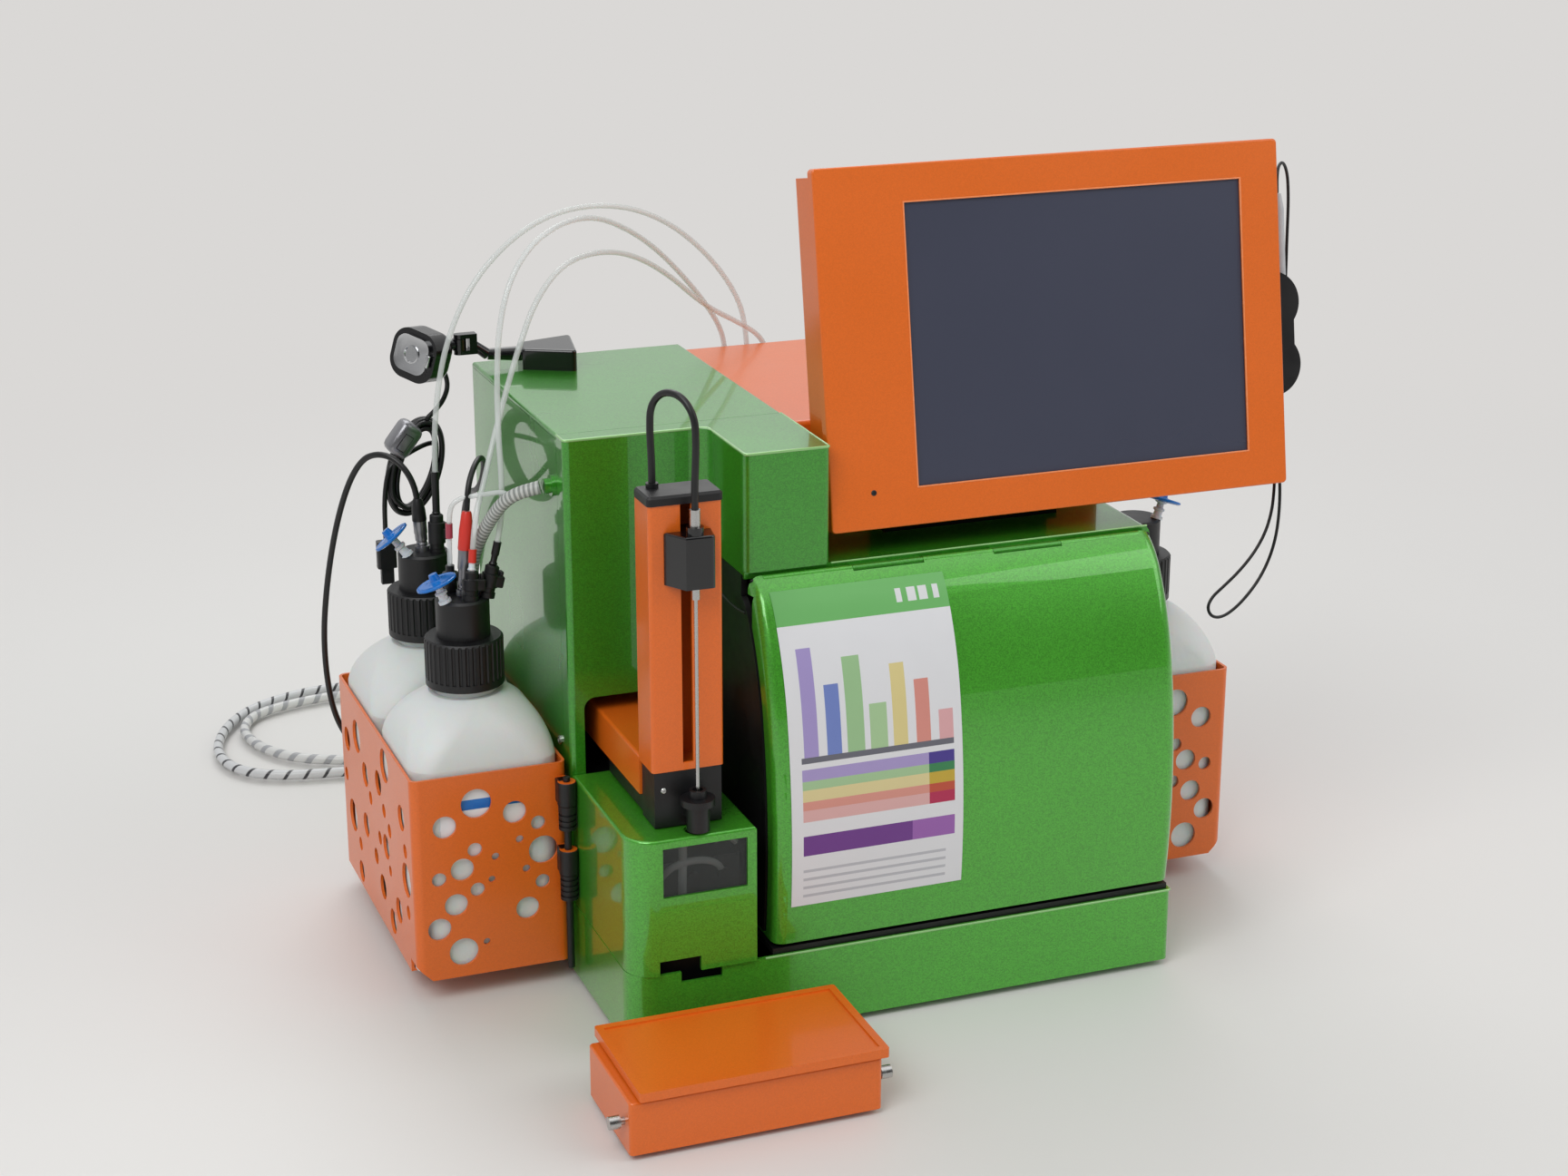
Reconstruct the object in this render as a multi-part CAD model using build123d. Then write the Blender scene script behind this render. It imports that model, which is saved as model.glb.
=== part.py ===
from build123d import *
import os
from math import cos, pi, radians, sin, tan

# A bench flow cytometer. Sizes are in millimetres. Model axes: X to the right, Y to the back, Z up.
# X starts at the tower's left side, Y at the base's front face and Z at the bench.
# The written files are moved so that their origin is the middle of the underside, cords left out.

# Body
BODY_W = 390.0  # whole body, without the bottle holders
BODY_D = 350.0
TOWER_TOP = 383.0
HOUSING_TOP = 304.0  # deck over the optics
BASE_BOTTOM = 5.0
BASE_TOP = 57.5
SHEET = 2.5  # painted sheet of the body
GAP = 0.3  # clearance between neighbouring moving pieces
ALCOVE_Y = 124.0  # wall behind the sampling arm
ALCOVE_W = 98.0  # alcove's width, up to the optics
TOWER_RIGHT = 156.5
TOWER_NOSE_Y = 51.7  # front of the tower's part above the door
SEAM_Y = 140.0  # seam between the tower's front shell and its top
CORNER_R = 18.0
TUNNEL_Z = (142.0, 205.0)  # opening that the arm passes through
TUNNEL_X = (10.0, 92.0)
INLET_X = (330.0, 358.0)  # mains inlet in the back plate
INLET_Z = (80.0, 102.0)
PORT_X = (195.0, 212.0, 229.0)  # nozzles for the three tubes
PORT_Z = 344.0
OPTICS_FLOOR = 150.0  # top of the optical bench

# Door
DOOR_X = (98.5, 388.5)
DOOR_SHEET = 2.5
DOOR_FLANGE = 16.0
DOOR_SIDE_R = 8.0
HINGE_Y, HINGE_Z = 49.0, 299.5
BARREL_R = 3.0
DOOR_PIN_R = 1.2
PIN_FIT = 0.05
DECK_BARRELS = ((170.0, 220.0), (270.0, 320.0))

# Cover below the arm
COVER_W = 85.3
COVER_TOP = 152.0
COVER_FRONT = -2.0
COVER_R = 20.0
WINDOW_X = (22.0, 79.0)
WINDOW_Z = (112.0, 146.0)

# Sampling arm
ARM_X = (21.4, 69.5)
ARM_Y = (15.0, 42.0)
ARM_BASE_Z = (167.0, 194.0)
ARM_BASE_END = 250.0
TOWER_Z = (191.0, 367.0)
ARM_SHEET = 2.0
SLOT_X = (42.0, 49.0)
RAIL_X = (36.0, 56.0)
NEEDLE_X, NEEDLE_Y = 48.0, 4.5
NEEDLE_R = 1.25
NEEDLE_TIP = 154.0
CARRIAGE_Z = (316.0, 350.0)
CUP_R = 11.0

# Monitor
MONITOR_AT = (159.8, 56.1, 322.1)  # lower left front corner
MONITOR_TILT = 9.72
MONITOR_W, MONITOR_H = 336.8, 234.0
BEZEL_D = 8.0
MONITOR_D = 48.0
BACK_INSET = 6.0
SCREEN_W, SCREEN_H = 246.0, 184.5
SCREEN_LEFT, SCREEN_LOW = 61.7, 24.9
TILT_AT = (58.0, 30.0)  # hinge pin, back from and up from the monitor's lower front edge
TILT_PIN_R = 4.0
EAR_X = (70.0, 170.0)  # middles of the hinge's ears, in the monitor's frame
STYLUS_R = 4.2
STYLUS_X = MONITOR_W + 17.0
STYLUS_DEPTH = 30.0
STYLUS_Z = (70.3, 186.0)
LOBE_R = 21.5
LOBES_Z = (57.7, 143.7)  # lowest and highest place of the holder's two lobes

# Bottle holders
HOLDER_IN = 3.3  # gap to the body
HOLDER_W = 106.7
HOLDER_Y = (124.0, 345.0)
HOLDER_Z = (17.0, 162.0)
HOLDER_SHEET = 2.0
HOLDER_NOTCH = 10.0
BOTTLE = 101.0
BOTTLE_SHOULDER = 165.0
BOTTLE_WALL = 2.0
NECK_Z = 203.0
NECK_R = 21.0
# Side and corner radius of the bottle's section at each height of its shoulder
BOTTLE_SECTIONS = {BOTTLE_SHOULDER: (BOTTLE, 16.0), 182.0: (93.0, 26.0), 196.0: (72.0, 30.0),
                   NECK_Z: (50.0, 24.9)}
BOTTLE_X = -HOLDER_IN - HOLDER_W / 2
BOTTLE_Y = (HOLDER_Y[0] + 3.5 + BOTTLE / 2, HOLDER_Y[0] + 9.5 + 1.5 * BOTTLE)
CAP_Z = (208.0, 241.0)
CAP_R = 26.5
CAP_RIBS = 36
HUB_R = 18.0
HUB_TOP = 268.0
ROD_R = 2.5
ROD_X, ROD_Y = -6.3, 114.5
KNUCKLE_R = 6.0
BODY_KNUCKLES = ((67.0, 85.0), (118.0, 135.0))
HOLDER_KNUCKLES = ((85.3, 103.0), (135.3, 152.0))

# Accessory sampler
SAMPLER_X = (-40.3, 124.0)
SAMPLER_Y = (-120.5, -37.0)
SAMPLER_Z = (4.0, 39.0)
TRAY_X = (-34.5, 127.5)
TRAY_Y = (-123.5, -30.0)
TRAY_Z = (40.5, 46.5)
RUNNER_Y = (-96.0, -60.0)  # slot that the tray's runner slides in

# Code reader
READER_PIN_R = 2.2
READER_AT = (-14.0, 330.0, 402.0)  # middle of the swivel pin
READER_TURN = 52.0

# Round holes of the bottle holders: along the face, height, radius
FRONT_HOLES = [
    (63, 141, 10.4), (85, 127, 8), (37, 131, 8), (21, 121, 5), (34, 111, 2.7), (18, 101, 10),
    (65, 108, 5), (51, 101, 2.7), (30, 89, 2.7), (74, 95, 8), (90, 90, 5), (19, 78, 5),
    (54, 85, 2.4), (64, 79, 5), (79, 70, 8), (30, 60, 8), (91, 54, 8), (75, 35, 10), (59, 40, 2.4),
]
SIDE_HOLES = [
    (289, 134, 12), (201, 145, 12), (265, 114, 9), (223, 124, 9), (250, 102, 5), (313, 64, 12),
    (208, 109, 5), (155, 125, 9), (269, 74, 9), (225, 82, 5), (292, 50, 5), (206, 83, 9),
    (193, 100, 5), (147, 104, 5), (293, 28, 8), (196, 69, 4), (147, 83, 12), (222, 46, 9),
    (174, 49, 9), (194, 32, 9), (145, 60, 5), (322, 120, 9), (330, 90, 5), (240, 62, 6),
]

parts = {}
cord_names = set()


def box(x, y, z):
    """Box between pairs of coordinates."""
    size = (x[1] - x[0], y[1] - y[0], z[1] - z[0])
    return Pos(x[0], y[0], z[0]) * Box(*size, align=(Align.MIN, Align.MIN, Align.MIN))


def rod(start, end, radius):
    """Round bar between two points."""
    axis = Vector(*end) - Vector(*start)
    plane = Plane(origin=start, z_dir=axis)
    return plane * Cylinder(radius, axis.length, align=(Align.CENTER, Align.CENTER, Align.MIN))


def cone(start, end, radius, end_radius):
    """Round bar whose radius changes from one end to the other."""
    axis = Vector(*end) - Vector(*start)
    plane = Plane(origin=start, z_dir=axis)
    return plane * Cone(radius, end_radius, axis.length, align=(Align.CENTER, Align.CENTER, Align.MIN))


def prism(points, z):
    """Flat outline of X and Y points, raised between two heights."""
    return Pos(0, 0, z[0]) * extrude(Polygon(*points, align=None), z[1] - z[0])


def side_sheet(outline, x):
    """Outline of Y and Z, extruded along X between two places."""
    return Pos(x[0], 0, 0) * extrude(Plane.YZ * outline, x[1] - x[0])


def upright_edges(solid, *places):
    """Vertical edges of a solid that stand at the given X and Y places."""
    found = []
    for edge in solid.edges().filter_by(Axis.Z):
        middle = edge.center()
        for x, y in places:
            if abs(middle.X - x) < 0.05 and abs(middle.Y - y) < 0.05:
                found.append(edge)
    return found


def cord(points, diameter):
    """Plain tube through the points of a route, with arcs as large as the runs allow."""
    knots = [Vector(*p) for p in points]
    radii = []
    for before, knot, after in zip(knots, knots[1:], knots[2:]):
        turn = (knot - before).get_angle(after - knot)
        run = min((knot - before).length, (after - knot).length)
        radii.append(0.45 * run / tan(radians(turn) / 2))
    path = FilletPolyline(*knots, radius=radii)
    tube = sweep(sections=Plane(origin=path @ 0, z_dir=path % 0) * Circle(diameter / 2), path=path)
    section = pi * diameter ** 2 / 4
    print(f"  cord d {diameter}: least radius {min(radii):.1f}, length {path.length:.0f},",
          f"volume / (section x length) {tube.volume / (section * path.length):.3f}")
    return tube


def keep(name, *solids, is_cord=False):
    """Store one node, made of one or more solids."""
    parts[name] = list(solids)
    if is_cord:
        cord_names.add(name)


# Base, feet and the outer shells


def base_tray():
    outline = [(0, 0), (BODY_W, 0), (BODY_W, BODY_D), (0, BODY_D)]
    tray = prism(outline, (BASE_BOTTOM, BASE_TOP))
    tray = fillet(upright_edges(tray, (0, 0)), CORNER_R)
    tray = fillet(upright_edges(tray, (BODY_W, 0), (BODY_W, BODY_D), (0, BODY_D)), 5)
    pocket = box((SHEET, BODY_W - SHEET), (SHEET, BODY_D - SHEET), (BASE_BOTTOM + SHEET, BASE_TOP))
    pocket = fillet(upright_edges(pocket, (SHEET, SHEET)), CORNER_R - SHEET)
    finger_notch = box((34, 62), (-1, SHEET + 1), (50, BASE_TOP))
    return tray - pocket - finger_notch


def feet():
    pads = []
    for x in (22, BODY_W - 22):
        for y in (24, BODY_D - 24):
            pads.append(cone((x, y, 0), (x, y, BASE_BOTTOM), 9, 10))
    for x in (SAMPLER_X[0] + 12, SAMPLER_X[1] - 12):
        for y in (SAMPLER_Y[0] + 12, SAMPLER_Y[1] - 12):
            pads.append(cone((x, y, 0), (x, y, SAMPLER_Z[0]), 5, 6))
    return pads


def tower_front():
    """Bent front shell: the alcove's wall, its right side and the nose above the door."""
    nose = [(0, ALCOVE_Y), (ALCOVE_W, ALCOVE_Y), (ALCOVE_W, TOWER_NOSE_Y), (TOWER_RIGHT, TOWER_NOSE_Y),
            (TOWER_RIGHT, SEAM_Y), (0, SEAM_Y)]
    left, right = SHEET, TOWER_RIGHT - SHEET
    back = ALCOVE_Y + SHEET
    hollow = [(left, back), (ALCOVE_W + SHEET, back), (ALCOVE_W + SHEET, TOWER_NOSE_Y + SHEET),
              (right, TOWER_NOSE_Y + SHEET), (right, SEAM_Y), (left, SEAM_Y)]
    upper = prism(nose, (HOUSING_TOP, TOWER_TOP))
    upper = fillet(upright_edges(upper, (ALCOVE_W, ALCOVE_Y)), 13)
    upper = fillet(upright_edges(upper, (ALCOVE_W, TOWER_NOSE_Y)), 6)
    upper = fillet(upright_edges(upper, (0, ALCOVE_Y), (TOWER_RIGHT, TOWER_NOSE_Y)), 4)
    inner = prism(hollow, (HOUSING_TOP, TOWER_TOP - SHEET))
    inner = fillet(upright_edges(inner, (ALCOVE_W + SHEET, back)), 13 - SHEET)
    inner = fillet(upright_edges(inner, (ALCOVE_W + SHEET, TOWER_NOSE_Y + SHEET)), 3.5)
    wall = box((0, ALCOVE_W - GAP), (ALCOVE_Y, SEAM_Y), (BASE_TOP, HOUSING_TOP))
    wall = fillet(upright_edges(wall, (0, ALCOVE_Y)), 4)
    wall -= box((left, ALCOVE_W), (back, SEAM_Y), (BASE_TOP, HOUSING_TOP))
    opening = box(TUNNEL_X, (ALCOVE_Y - 1, back + 1), (TUNNEL_Z[0], TUNNEL_Z[1]))
    opening = fillet(opening.edges().filter_by(Axis.Y).group_by(Axis.Z)[-1], 8)
    return upper - inner + wall - opening


def tower_top():
    """Top of the tower behind the seam, with its right side and a folded left edge."""
    y = (SEAM_Y + GAP, BODY_D)
    shell = box((0, TOWER_RIGHT), y, (HOUSING_TOP, TOWER_TOP))
    shell = fillet(shell.edges().filter_by(Axis.Y).group_by(Axis.Z)[-1], 2)
    hollow = box((SHEET, TOWER_RIGHT - SHEET), (y[0], y[1] - SHEET), (HOUSING_TOP, TOWER_TOP - SHEET))
    panel_gap = box((-1, SHEET + GAP), (y[0] - 1, y[1] + 1), (HOUSING_TOP, TOWER_TOP - 3))
    return shell - hollow - panel_gap


def side_panel_left():
    panel = box((0, SHEET), (SEAM_Y + GAP, BODY_D - GAP), (BASE_TOP, TOWER_TOP - 3 - GAP))
    connector = rod((-7, SEAM_Y + 8, 347), (0, SEAM_Y + 8, 347), 5)
    collar = rod((-2.5, SEAM_Y + 8, 347), (0, SEAM_Y + 8, 347), 7)
    return panel + connector + collar


def right_shell():
    """Deck over the optics and the right side, bent from one sheet."""
    shell = box((ALCOVE_W, BODY_W), (54, BODY_D), (BASE_TOP, HOUSING_TOP))
    corner = shell.edges().filter_by(Axis.Y).group_by(Axis.Z)[-1].sort_by(Axis.X)[-1]
    shell = fillet(corner, 6)
    hollow = box((ALCOVE_W - 1, BODY_W - SHEET), (53, BODY_D + 1), (BASE_TOP - 1, HOUSING_TOP - SHEET))
    shell -= hollow
    shell += box((ALCOVE_W, BODY_W - SHEET), (54, 54 + SHEET), (HOUSING_TOP - 4.5, HOUSING_TOP - SHEET))
    for start, end in DECK_BARRELS:
        span = (start + GAP, end - GAP)
        shell += rod((span[0], HINGE_Y, HINGE_Z), (span[1], HINGE_Y, HINGE_Z), BARREL_R)
        shell += box(span, (HINGE_Y + 1.5, 55), (HINGE_Z, HINGE_Z + 2.2))
    return shell - rod((0, HINGE_Y, HINGE_Z), (BODY_W + 10, HINGE_Y, HINGE_Z), DOOR_PIN_R)


def rear_cover():
    shell = box((TOWER_RIGHT + GAP, BODY_W - 2), (128, BODY_D), (HOUSING_TOP, TOWER_TOP - 4))
    shell = fillet(shell.edges().group_by(Axis.Z)[-1], 3)
    hollow = box((TOWER_RIGHT + 3, BODY_W - 4.5), (130, BODY_D - 2), (HOUSING_TOP, TOWER_TOP - 6))
    return shell - hollow


def rear_panel():
    """Back plate with a fan grille and the cut-out of the mains inlet."""
    y = (BODY_D - SHEET, BODY_D)
    tall = box((SHEET + GAP, ALCOVE_W - GAP), y, (BASE_TOP, HOUSING_TOP))
    low = box((ALCOVE_W - GAP, BODY_W - SHEET - GAP), y, (BASE_TOP, HOUSING_TOP - SHEET - GAP))
    plate = tall + low
    for row in range(7):
        z = 200 + 10 * row
        slot = box((200, 290), (y[0] - 1, y[1] + 1), (z, z + 5))
        plate -= slot
    return plate - box(INLET_X, (y[0] - 1, y[1] + 1), INLET_Z)


def power_inlet():
    """Mains inlet: a flange on the back plate and a recessed socket."""
    flange = box((INLET_X[0] - 6, INLET_X[1] + 6), (BODY_D, BODY_D + 2.5), (INLET_Z[0] - 3, INLET_Z[1] + 3))
    inset = (INLET_X[0] + GAP, INLET_X[1] - GAP)
    body = box(inset, (BODY_D - 24, BODY_D + 1), (INLET_Z[0] + GAP, INLET_Z[1] - GAP))
    rim = 2.5
    socket = box((INLET_X[0] + rim, INLET_X[1] - rim), (BODY_D - 18, BODY_D + 3),
                 (INLET_Z[0] + rim, INLET_Z[1] - rim))
    socket = fillet(socket.edges().filter_by(Axis.Y).group_by(Axis.Z)[-1], 4)
    return flange + body - socket


def fluid_ports():
    """Block on the back of the rear cover, with an upturned nozzle for each tube."""
    block = box((PORT_X[0] - 10, PORT_X[-1] + 10), (BODY_D, BODY_D + 14), (PORT_Z - 30, PORT_Z - 10))
    block = fillet(block.edges().filter_by(Axis.Y), 3)
    for x in PORT_X:
        block += rod((x, BODY_D + 7, PORT_Z - 12), (x, BODY_D + 7, PORT_Z), 3.5)
    return block


# Optics behind the door


def door_curve():
    """Outer side profile of the door, from its lower edge up to the hinge barrel."""
    low = ThreePointArc((1.3, 64.5), (-2.8, 127), (5.8, 219.6))
    high = TangentArc(low @ 1, (29, 282), tangent=low % 1)
    top = TangentArc(high @ 1, (HINGE_Y, HINGE_Z + BARREL_R), tangent=high % 1)
    return Wire([low, high, top])


def behind_curve(depth, back):
    """Face between the door's profile, set back by a depth, and a place further back."""
    curve = door_curve().offset_2d(-depth, side=Side.RIGHT, closed=False) if depth else door_curve()
    start, end = curve @ 0, curve @ 1
    if start.Y > end.Y:
        start, end = end, start
    edges = curve.edges() + [Line(end, (back, end.Y)).edge(), Line((back, end.Y), (back, start.Y)).edge(),
                             Line((back, start.Y), start).edge()]
    return make_face(edges)


def door_block(depth, x, back=110):
    """Block behind the door's profile set back by a depth."""
    return side_sheet(behind_curve(depth, back), x)


def optics_casing():
    """Black casing whose cheeks follow the door's curve, with a bulkhead behind the bench."""
    x = (ALCOVE_W, BODY_W - SHEET - GAP)
    back = BODY_D - SHEET - GAP
    floor, roof = BASE_TOP + 4, HOUSING_TOP - SHEET - GAP
    casing = door_block(DOOR_FLANGE + 3, x, back) + box(x, (60, back), (floor, roof))
    casing += box(x, (3, back), (BASE_TOP, floor))
    inner = (x[0] + 4, x[1] - 4)
    casing -= box(inner, (-5, back + 1), (floor, roof - 4))
    return casing + box(inner, (112, 115), (floor, roof - 4))


def optical_bench():
    """Shelf that carries the laser, the flow cell and the detectors."""
    shelf = box((ALCOVE_W + 6, BODY_W - 9), (40, 111.7), (OPTICS_FLOOR - 8, OPTICS_FLOOR))
    for x in range(125, 370, 30):
        for y in (56, 86):
            shelf -= rod((x, y, OPTICS_FLOOR - 3), (x, y, OPTICS_FLOOR + 1), 3)
    for x in (ALCOVE_W + 6, BODY_W - 15):
        shelf += box((x, x + 6), (60, 111.7), (BASE_TOP + 4, OPTICS_FLOOR - 8))
    return shelf


def laser_module():
    body = box((120, 205), (52, 84), (OPTICS_FLOOR, OPTICS_FLOOR + 34))
    for x in range(126, 200, 8):
        body -= box((x, x + 4), (51, 85), (OPTICS_FLOOR + 24, OPTICS_FLOOR + 35))
    return body + rod((205, 68, OPTICS_FLOOR + 12), (216, 68, OPTICS_FLOOR + 12), 7)


def flow_cell():
    block = box((232, 256), (56, 80), (OPTICS_FLOOR, OPTICS_FLOOR + 46))
    block = chamfer(block.edges().filter_by(Axis.Z), 3)
    block -= box((238, 250), (50, 90), (OPTICS_FLOOR + 14, OPTICS_FLOOR + 30))
    block += box((241, 247), (65, 71), (OPTICS_FLOOR + 13, OPTICS_FLOOR + 31))
    return block + rod((244, 68, OPTICS_FLOOR + 46), (244, 68, OPTICS_FLOOR + 58), 5)


def detectors():
    row = []
    for x in (276, 306, 336):
        can = rod((x, 68, OPTICS_FLOOR), (x, 68, OPTICS_FLOOR + 44), 12)
        row.append(can + rod((x, 68, OPTICS_FLOOR + 44), (x, 68, OPTICS_FLOOR + 52), 7))
    return row


def front_door():
    """Curved sheet with side flanges and the door's share of the hinge barrel."""
    skin = door_block(0, DOOR_X)
    front = [e for e in skin.edges() if e.center().Y < 48 and e.length > 20
             and (abs(e.center().X - DOOR_X[0]) < 0.1 or abs(e.center().X - DOOR_X[1]) < 0.1)
             and e.geom_type == GeomType.CIRCLE]
    skin = fillet(front, DOOR_SIDE_R)
    inner_x = (DOOR_X[0] + DOOR_SHEET, DOOR_X[1] - DOOR_SHEET)
    hollow = door_block(DOOR_SHEET, inner_x)
    inner_front = [e for e in hollow.edges() if e.center().Y < 50 and e.length > 20
                   and (abs(e.center().X - inner_x[0]) < 0.1 or abs(e.center().X - inner_x[1]) < 0.1)
                   and e.geom_type == GeomType.CIRCLE]
    hollow = fillet(inner_front, DOOR_SIDE_R - DOOR_SHEET)
    hollow += extrude(hollow.faces().sort_by(Axis.Z)[0], 2)
    skin = skin - hollow - door_block(DOOR_FLANGE, (0, BODY_W + 10))
    skin -= box((0, BODY_W + 10), (HINGE_Y, 120), (0, HOUSING_TOP + 5))
    skin -= box((0, BODY_W + 10), (HINGE_Y - 8, 120), (0, HINGE_Z - 8))
    edges = [DOOR_X[0] + 10] + [x for pair in DECK_BARRELS for x in pair] + [DOOR_X[1] - 10]
    for start, end in DECK_BARRELS:
        skin -= box((start, end), (HINGE_Y - BARREL_R - 1.2, 60), (HINGE_Z - 8, HOUSING_TOP + 1))
    for start, end in zip(edges[::2], edges[1::2]):
        skin += rod((start, HINGE_Y, HINGE_Z), (end, HINGE_Y, HINGE_Z), BARREL_R)
    return skin - rod((0, HINGE_Y, HINGE_Z), (BODY_W + 10, HINGE_Y, HINGE_Z), DOOR_PIN_R + PIN_FIT)


# Cover below the arm


def sample_cover():
    """Pull-off cover: rounded corner, window, cup notch and finger notch."""
    y = (COVER_FRONT, ALCOVE_Y - GAP)
    z = (BASE_TOP + GAP, COVER_TOP)
    shell = box((GAP, COVER_W), y, z)
    shell = fillet(upright_edges(shell, (GAP, COVER_FRONT)), COVER_R)
    shell = fillet(shell.edges().group_by(Axis.Z)[-1], 2)
    wall = 2.5
    left = GAP + wall
    hollow = box((left, COVER_W + 1), (COVER_FRONT + wall, y[1] + 1), (z[0] - 1, COVER_TOP - wall))
    hollow = fillet(upright_edges(hollow, (left, COVER_FRONT + wall)), COVER_R - wall)
    shell -= hollow
    shell -= box(WINDOW_X, (COVER_FRONT - 1, COVER_FRONT + wall + 1), WINDOW_Z)
    shell -= box((19, 47), (COVER_FRONT - 1, COVER_FRONT + wall + 1), (z[0] - 1, 68))
    return shell - rod((NEEDLE_X, NEEDLE_Y + 4, 100), (NEEDLE_X, NEEDLE_Y + 4, 160), 8)


def cover_window():
    lip = 1.5
    x = (WINDOW_X[0] + GAP, WINDOW_X[1] - GAP)
    z = (WINDOW_Z[0] + GAP, WINDOW_Z[1] - GAP)
    pane = box(x, (COVER_FRONT + 1, COVER_FRONT + 2.5), z)
    flange = box((WINDOW_X[0] - lip, WINDOW_X[1] + lip), (COVER_FRONT + 2.5, COVER_FRONT + 3.5),
                 (WINDOW_Z[0] - lip, WINDOW_Z[1] + lip))
    return pane + flange


def fluidics_block():
    """Valve manifold behind the window."""
    block = box((14, 80), (16, 96), (BASE_BOTTOM + SHEET, 128))
    for x in (26, 47, 68):
        block += rod((x, 10, 84), (x, 16, 84), 7)
        block += rod((x, 12, 116), (x, 16, 116), 4)
    return block


# Sampling arm


def arm_tunnel():
    """Liner behind the alcove's opening, with the rail that the arm slides on."""
    x = (TUNNEL_X[0] - 2, TUNNEL_X[1] + 2)
    y = (ALCOVE_Y + SHEET, BODY_D - SHEET - 2)
    liner = box(x, y, (TUNNEL_Z[0] - 2, TUNNEL_Z[1] + 2))
    liner -= box((x[0] + 2, x[1] - 2), (y[0] - 1, y[1] - 2), TUNNEL_Z)
    return liner + box(RAIL_X, (y[0], y[1] - 2), (TUNNEL_Z[0], ARM_BASE_Z[0] - GAP))


def arm_base():
    beam = box(ARM_X, (ARM_Y[1], ARM_BASE_END), ARM_BASE_Z)
    beam = fillet(beam.edges().filter_by(Axis.Y).group_by(Axis.Z)[-1], 2)
    return beam - box((ARM_X[0] + 3, ARM_X[1] - 3), (ARM_Y[1] + 4, ARM_BASE_END - 4),
                      (ARM_BASE_Z[0] + 3, ARM_BASE_Z[1] - 3))


def arm_tower():
    """Upright housing with the slot that the carriage's neck runs in."""
    shell = box(ARM_X, ARM_Y, TOWER_Z)
    shell = fillet(upright_edges(shell, (ARM_X[0], ARM_Y[0]), (ARM_X[1], ARM_Y[0])), 2.5)
    shell -= box((ARM_X[0], ARM_X[1]), (ARM_Y[1] - 1, ARM_Y[1]), (TOWER_Z[0], ARM_BASE_Z[1] + GAP))
    hollow = box((ARM_X[0] + ARM_SHEET, ARM_X[1] - ARM_SHEET), (ARM_Y[0] + ARM_SHEET, ARM_Y[1] - 3),
                 (TOWER_Z[0] + 2, TOWER_Z[1]))
    slot = box(SLOT_X, (ARM_Y[0] - 1, ARM_Y[0] + ARM_SHEET + 1), (TOWER_Z[0] + 5, TOWER_Z[1]))
    return shell - hollow - slot


def arm_cap():
    rim = 0.8
    top = TOWER_Z[1]
    cap = box((ARM_X[0] - rim, ARM_X[1] + rim), (ARM_Y[0] - rim, ARM_Y[1] + rim), (top, top + 6))
    cap = fillet(cap.edges().filter_by(Axis.Z), 3)
    cap = chamfer(cap.edges().group_by(Axis.Z)[-1], 1.5)
    x, y, foot = ARM_CABLE[0]
    return cap + rod((x, y, top + 5), (x, y, foot), 4)


def arm_foot():
    x = (ARM_X[0] + 1.5, ARM_X[1] - 1.5)
    foot = box(x, (ARM_Y[0] + 1, ARM_Y[1] - 1 - GAP), (COVER_TOP + 1, TOWER_Z[0]))
    for side in ((x[0], RAIL_X[0] - 3), (RAIL_X[1] + 3, x[1])):
        foot += box(side, (ARM_Y[1] - 1 - GAP, 112), (ARM_BASE_Z[0] - 11, ARM_BASE_Z[0]))
    return foot


def wash_cup():
    """Cup that the needle passes through, on a short bracket."""
    at = (NEEDLE_X, NEEDLE_Y)
    cup = rod((*at, COVER_TOP + 1.5), (*at, 171), 7.5)
    cup += rod((*at, 171), (*at, 175.5), CUP_R)
    cup += rod((*at, 175.5), (*at, 181), 5.5)
    cup += box((NEEDLE_X - 6, NEEDLE_X + 6), (NEEDLE_Y + 4, ARM_Y[0] + 1), (160, 172))
    return cup - rod((*at, 140), (*at, 190), 3.5)


def carriage():
    """Sliding block, its neck through the slot and the runner inside the tower."""
    outline = [(31, ARM_Y[0] - 0.5), (40, -1.6), (59, -2.2), (62, ARM_Y[0] - 0.5)]
    block = prism(outline, CARRIAGE_Z)
    block = fillet(block.edges().filter_by(Axis.Z).group_by(Axis.Y)[0], 3)
    block = fillet(block.edges().group_by(Axis.Z)[-1], 1.5)
    neck = box((SLOT_X[0] + GAP, SLOT_X[1] - GAP), (ARM_Y[0] - 1, 22), (CARRIAGE_Z[0] + 3, CARRIAGE_Z[1] - 3))
    runner = box((ARM_X[0] + ARM_SHEET + GAP, ARM_X[1] - ARM_SHEET - GAP), (ARM_Y[0] + ARM_SHEET + GAP, 36),
                 (CARRIAGE_Z[0] + 3, CARRIAGE_Z[1] - 3))
    boss = rod((NEEDLE_X, NEEDLE_Y, CARRIAGE_Z[1]), (NEEDLE_X, NEEDLE_Y, CARRIAGE_Z[1] + 5), 5.5)
    bore = rod((NEEDLE_X, NEEDLE_Y, 300), (NEEDLE_X, NEEDLE_Y, 380), NEEDLE_R)
    return block + neck + runner + boss - bore


def needle():
    at = (NEEDLE_X, NEEDLE_Y)
    tip = cone((*at, NEEDLE_TIP), (*at, NEEDLE_TIP + 5), 0.5, NEEDLE_R)
    shaft = rod((*at, NEEDLE_TIP + 5), (*at, CARRIAGE_Z[1] + 5), NEEDLE_R)
    ferrule = rod((*at, CARRIAGE_Z[1] + 5), (*at, CARRIAGE_Z[1] + 16), 3.4)
    sleeve = rod((*at, CARRIAGE_Z[0] - 8), (*at, CARRIAGE_Z[0]), 2.6)
    return tip + shaft + ferrule + sleeve


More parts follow.
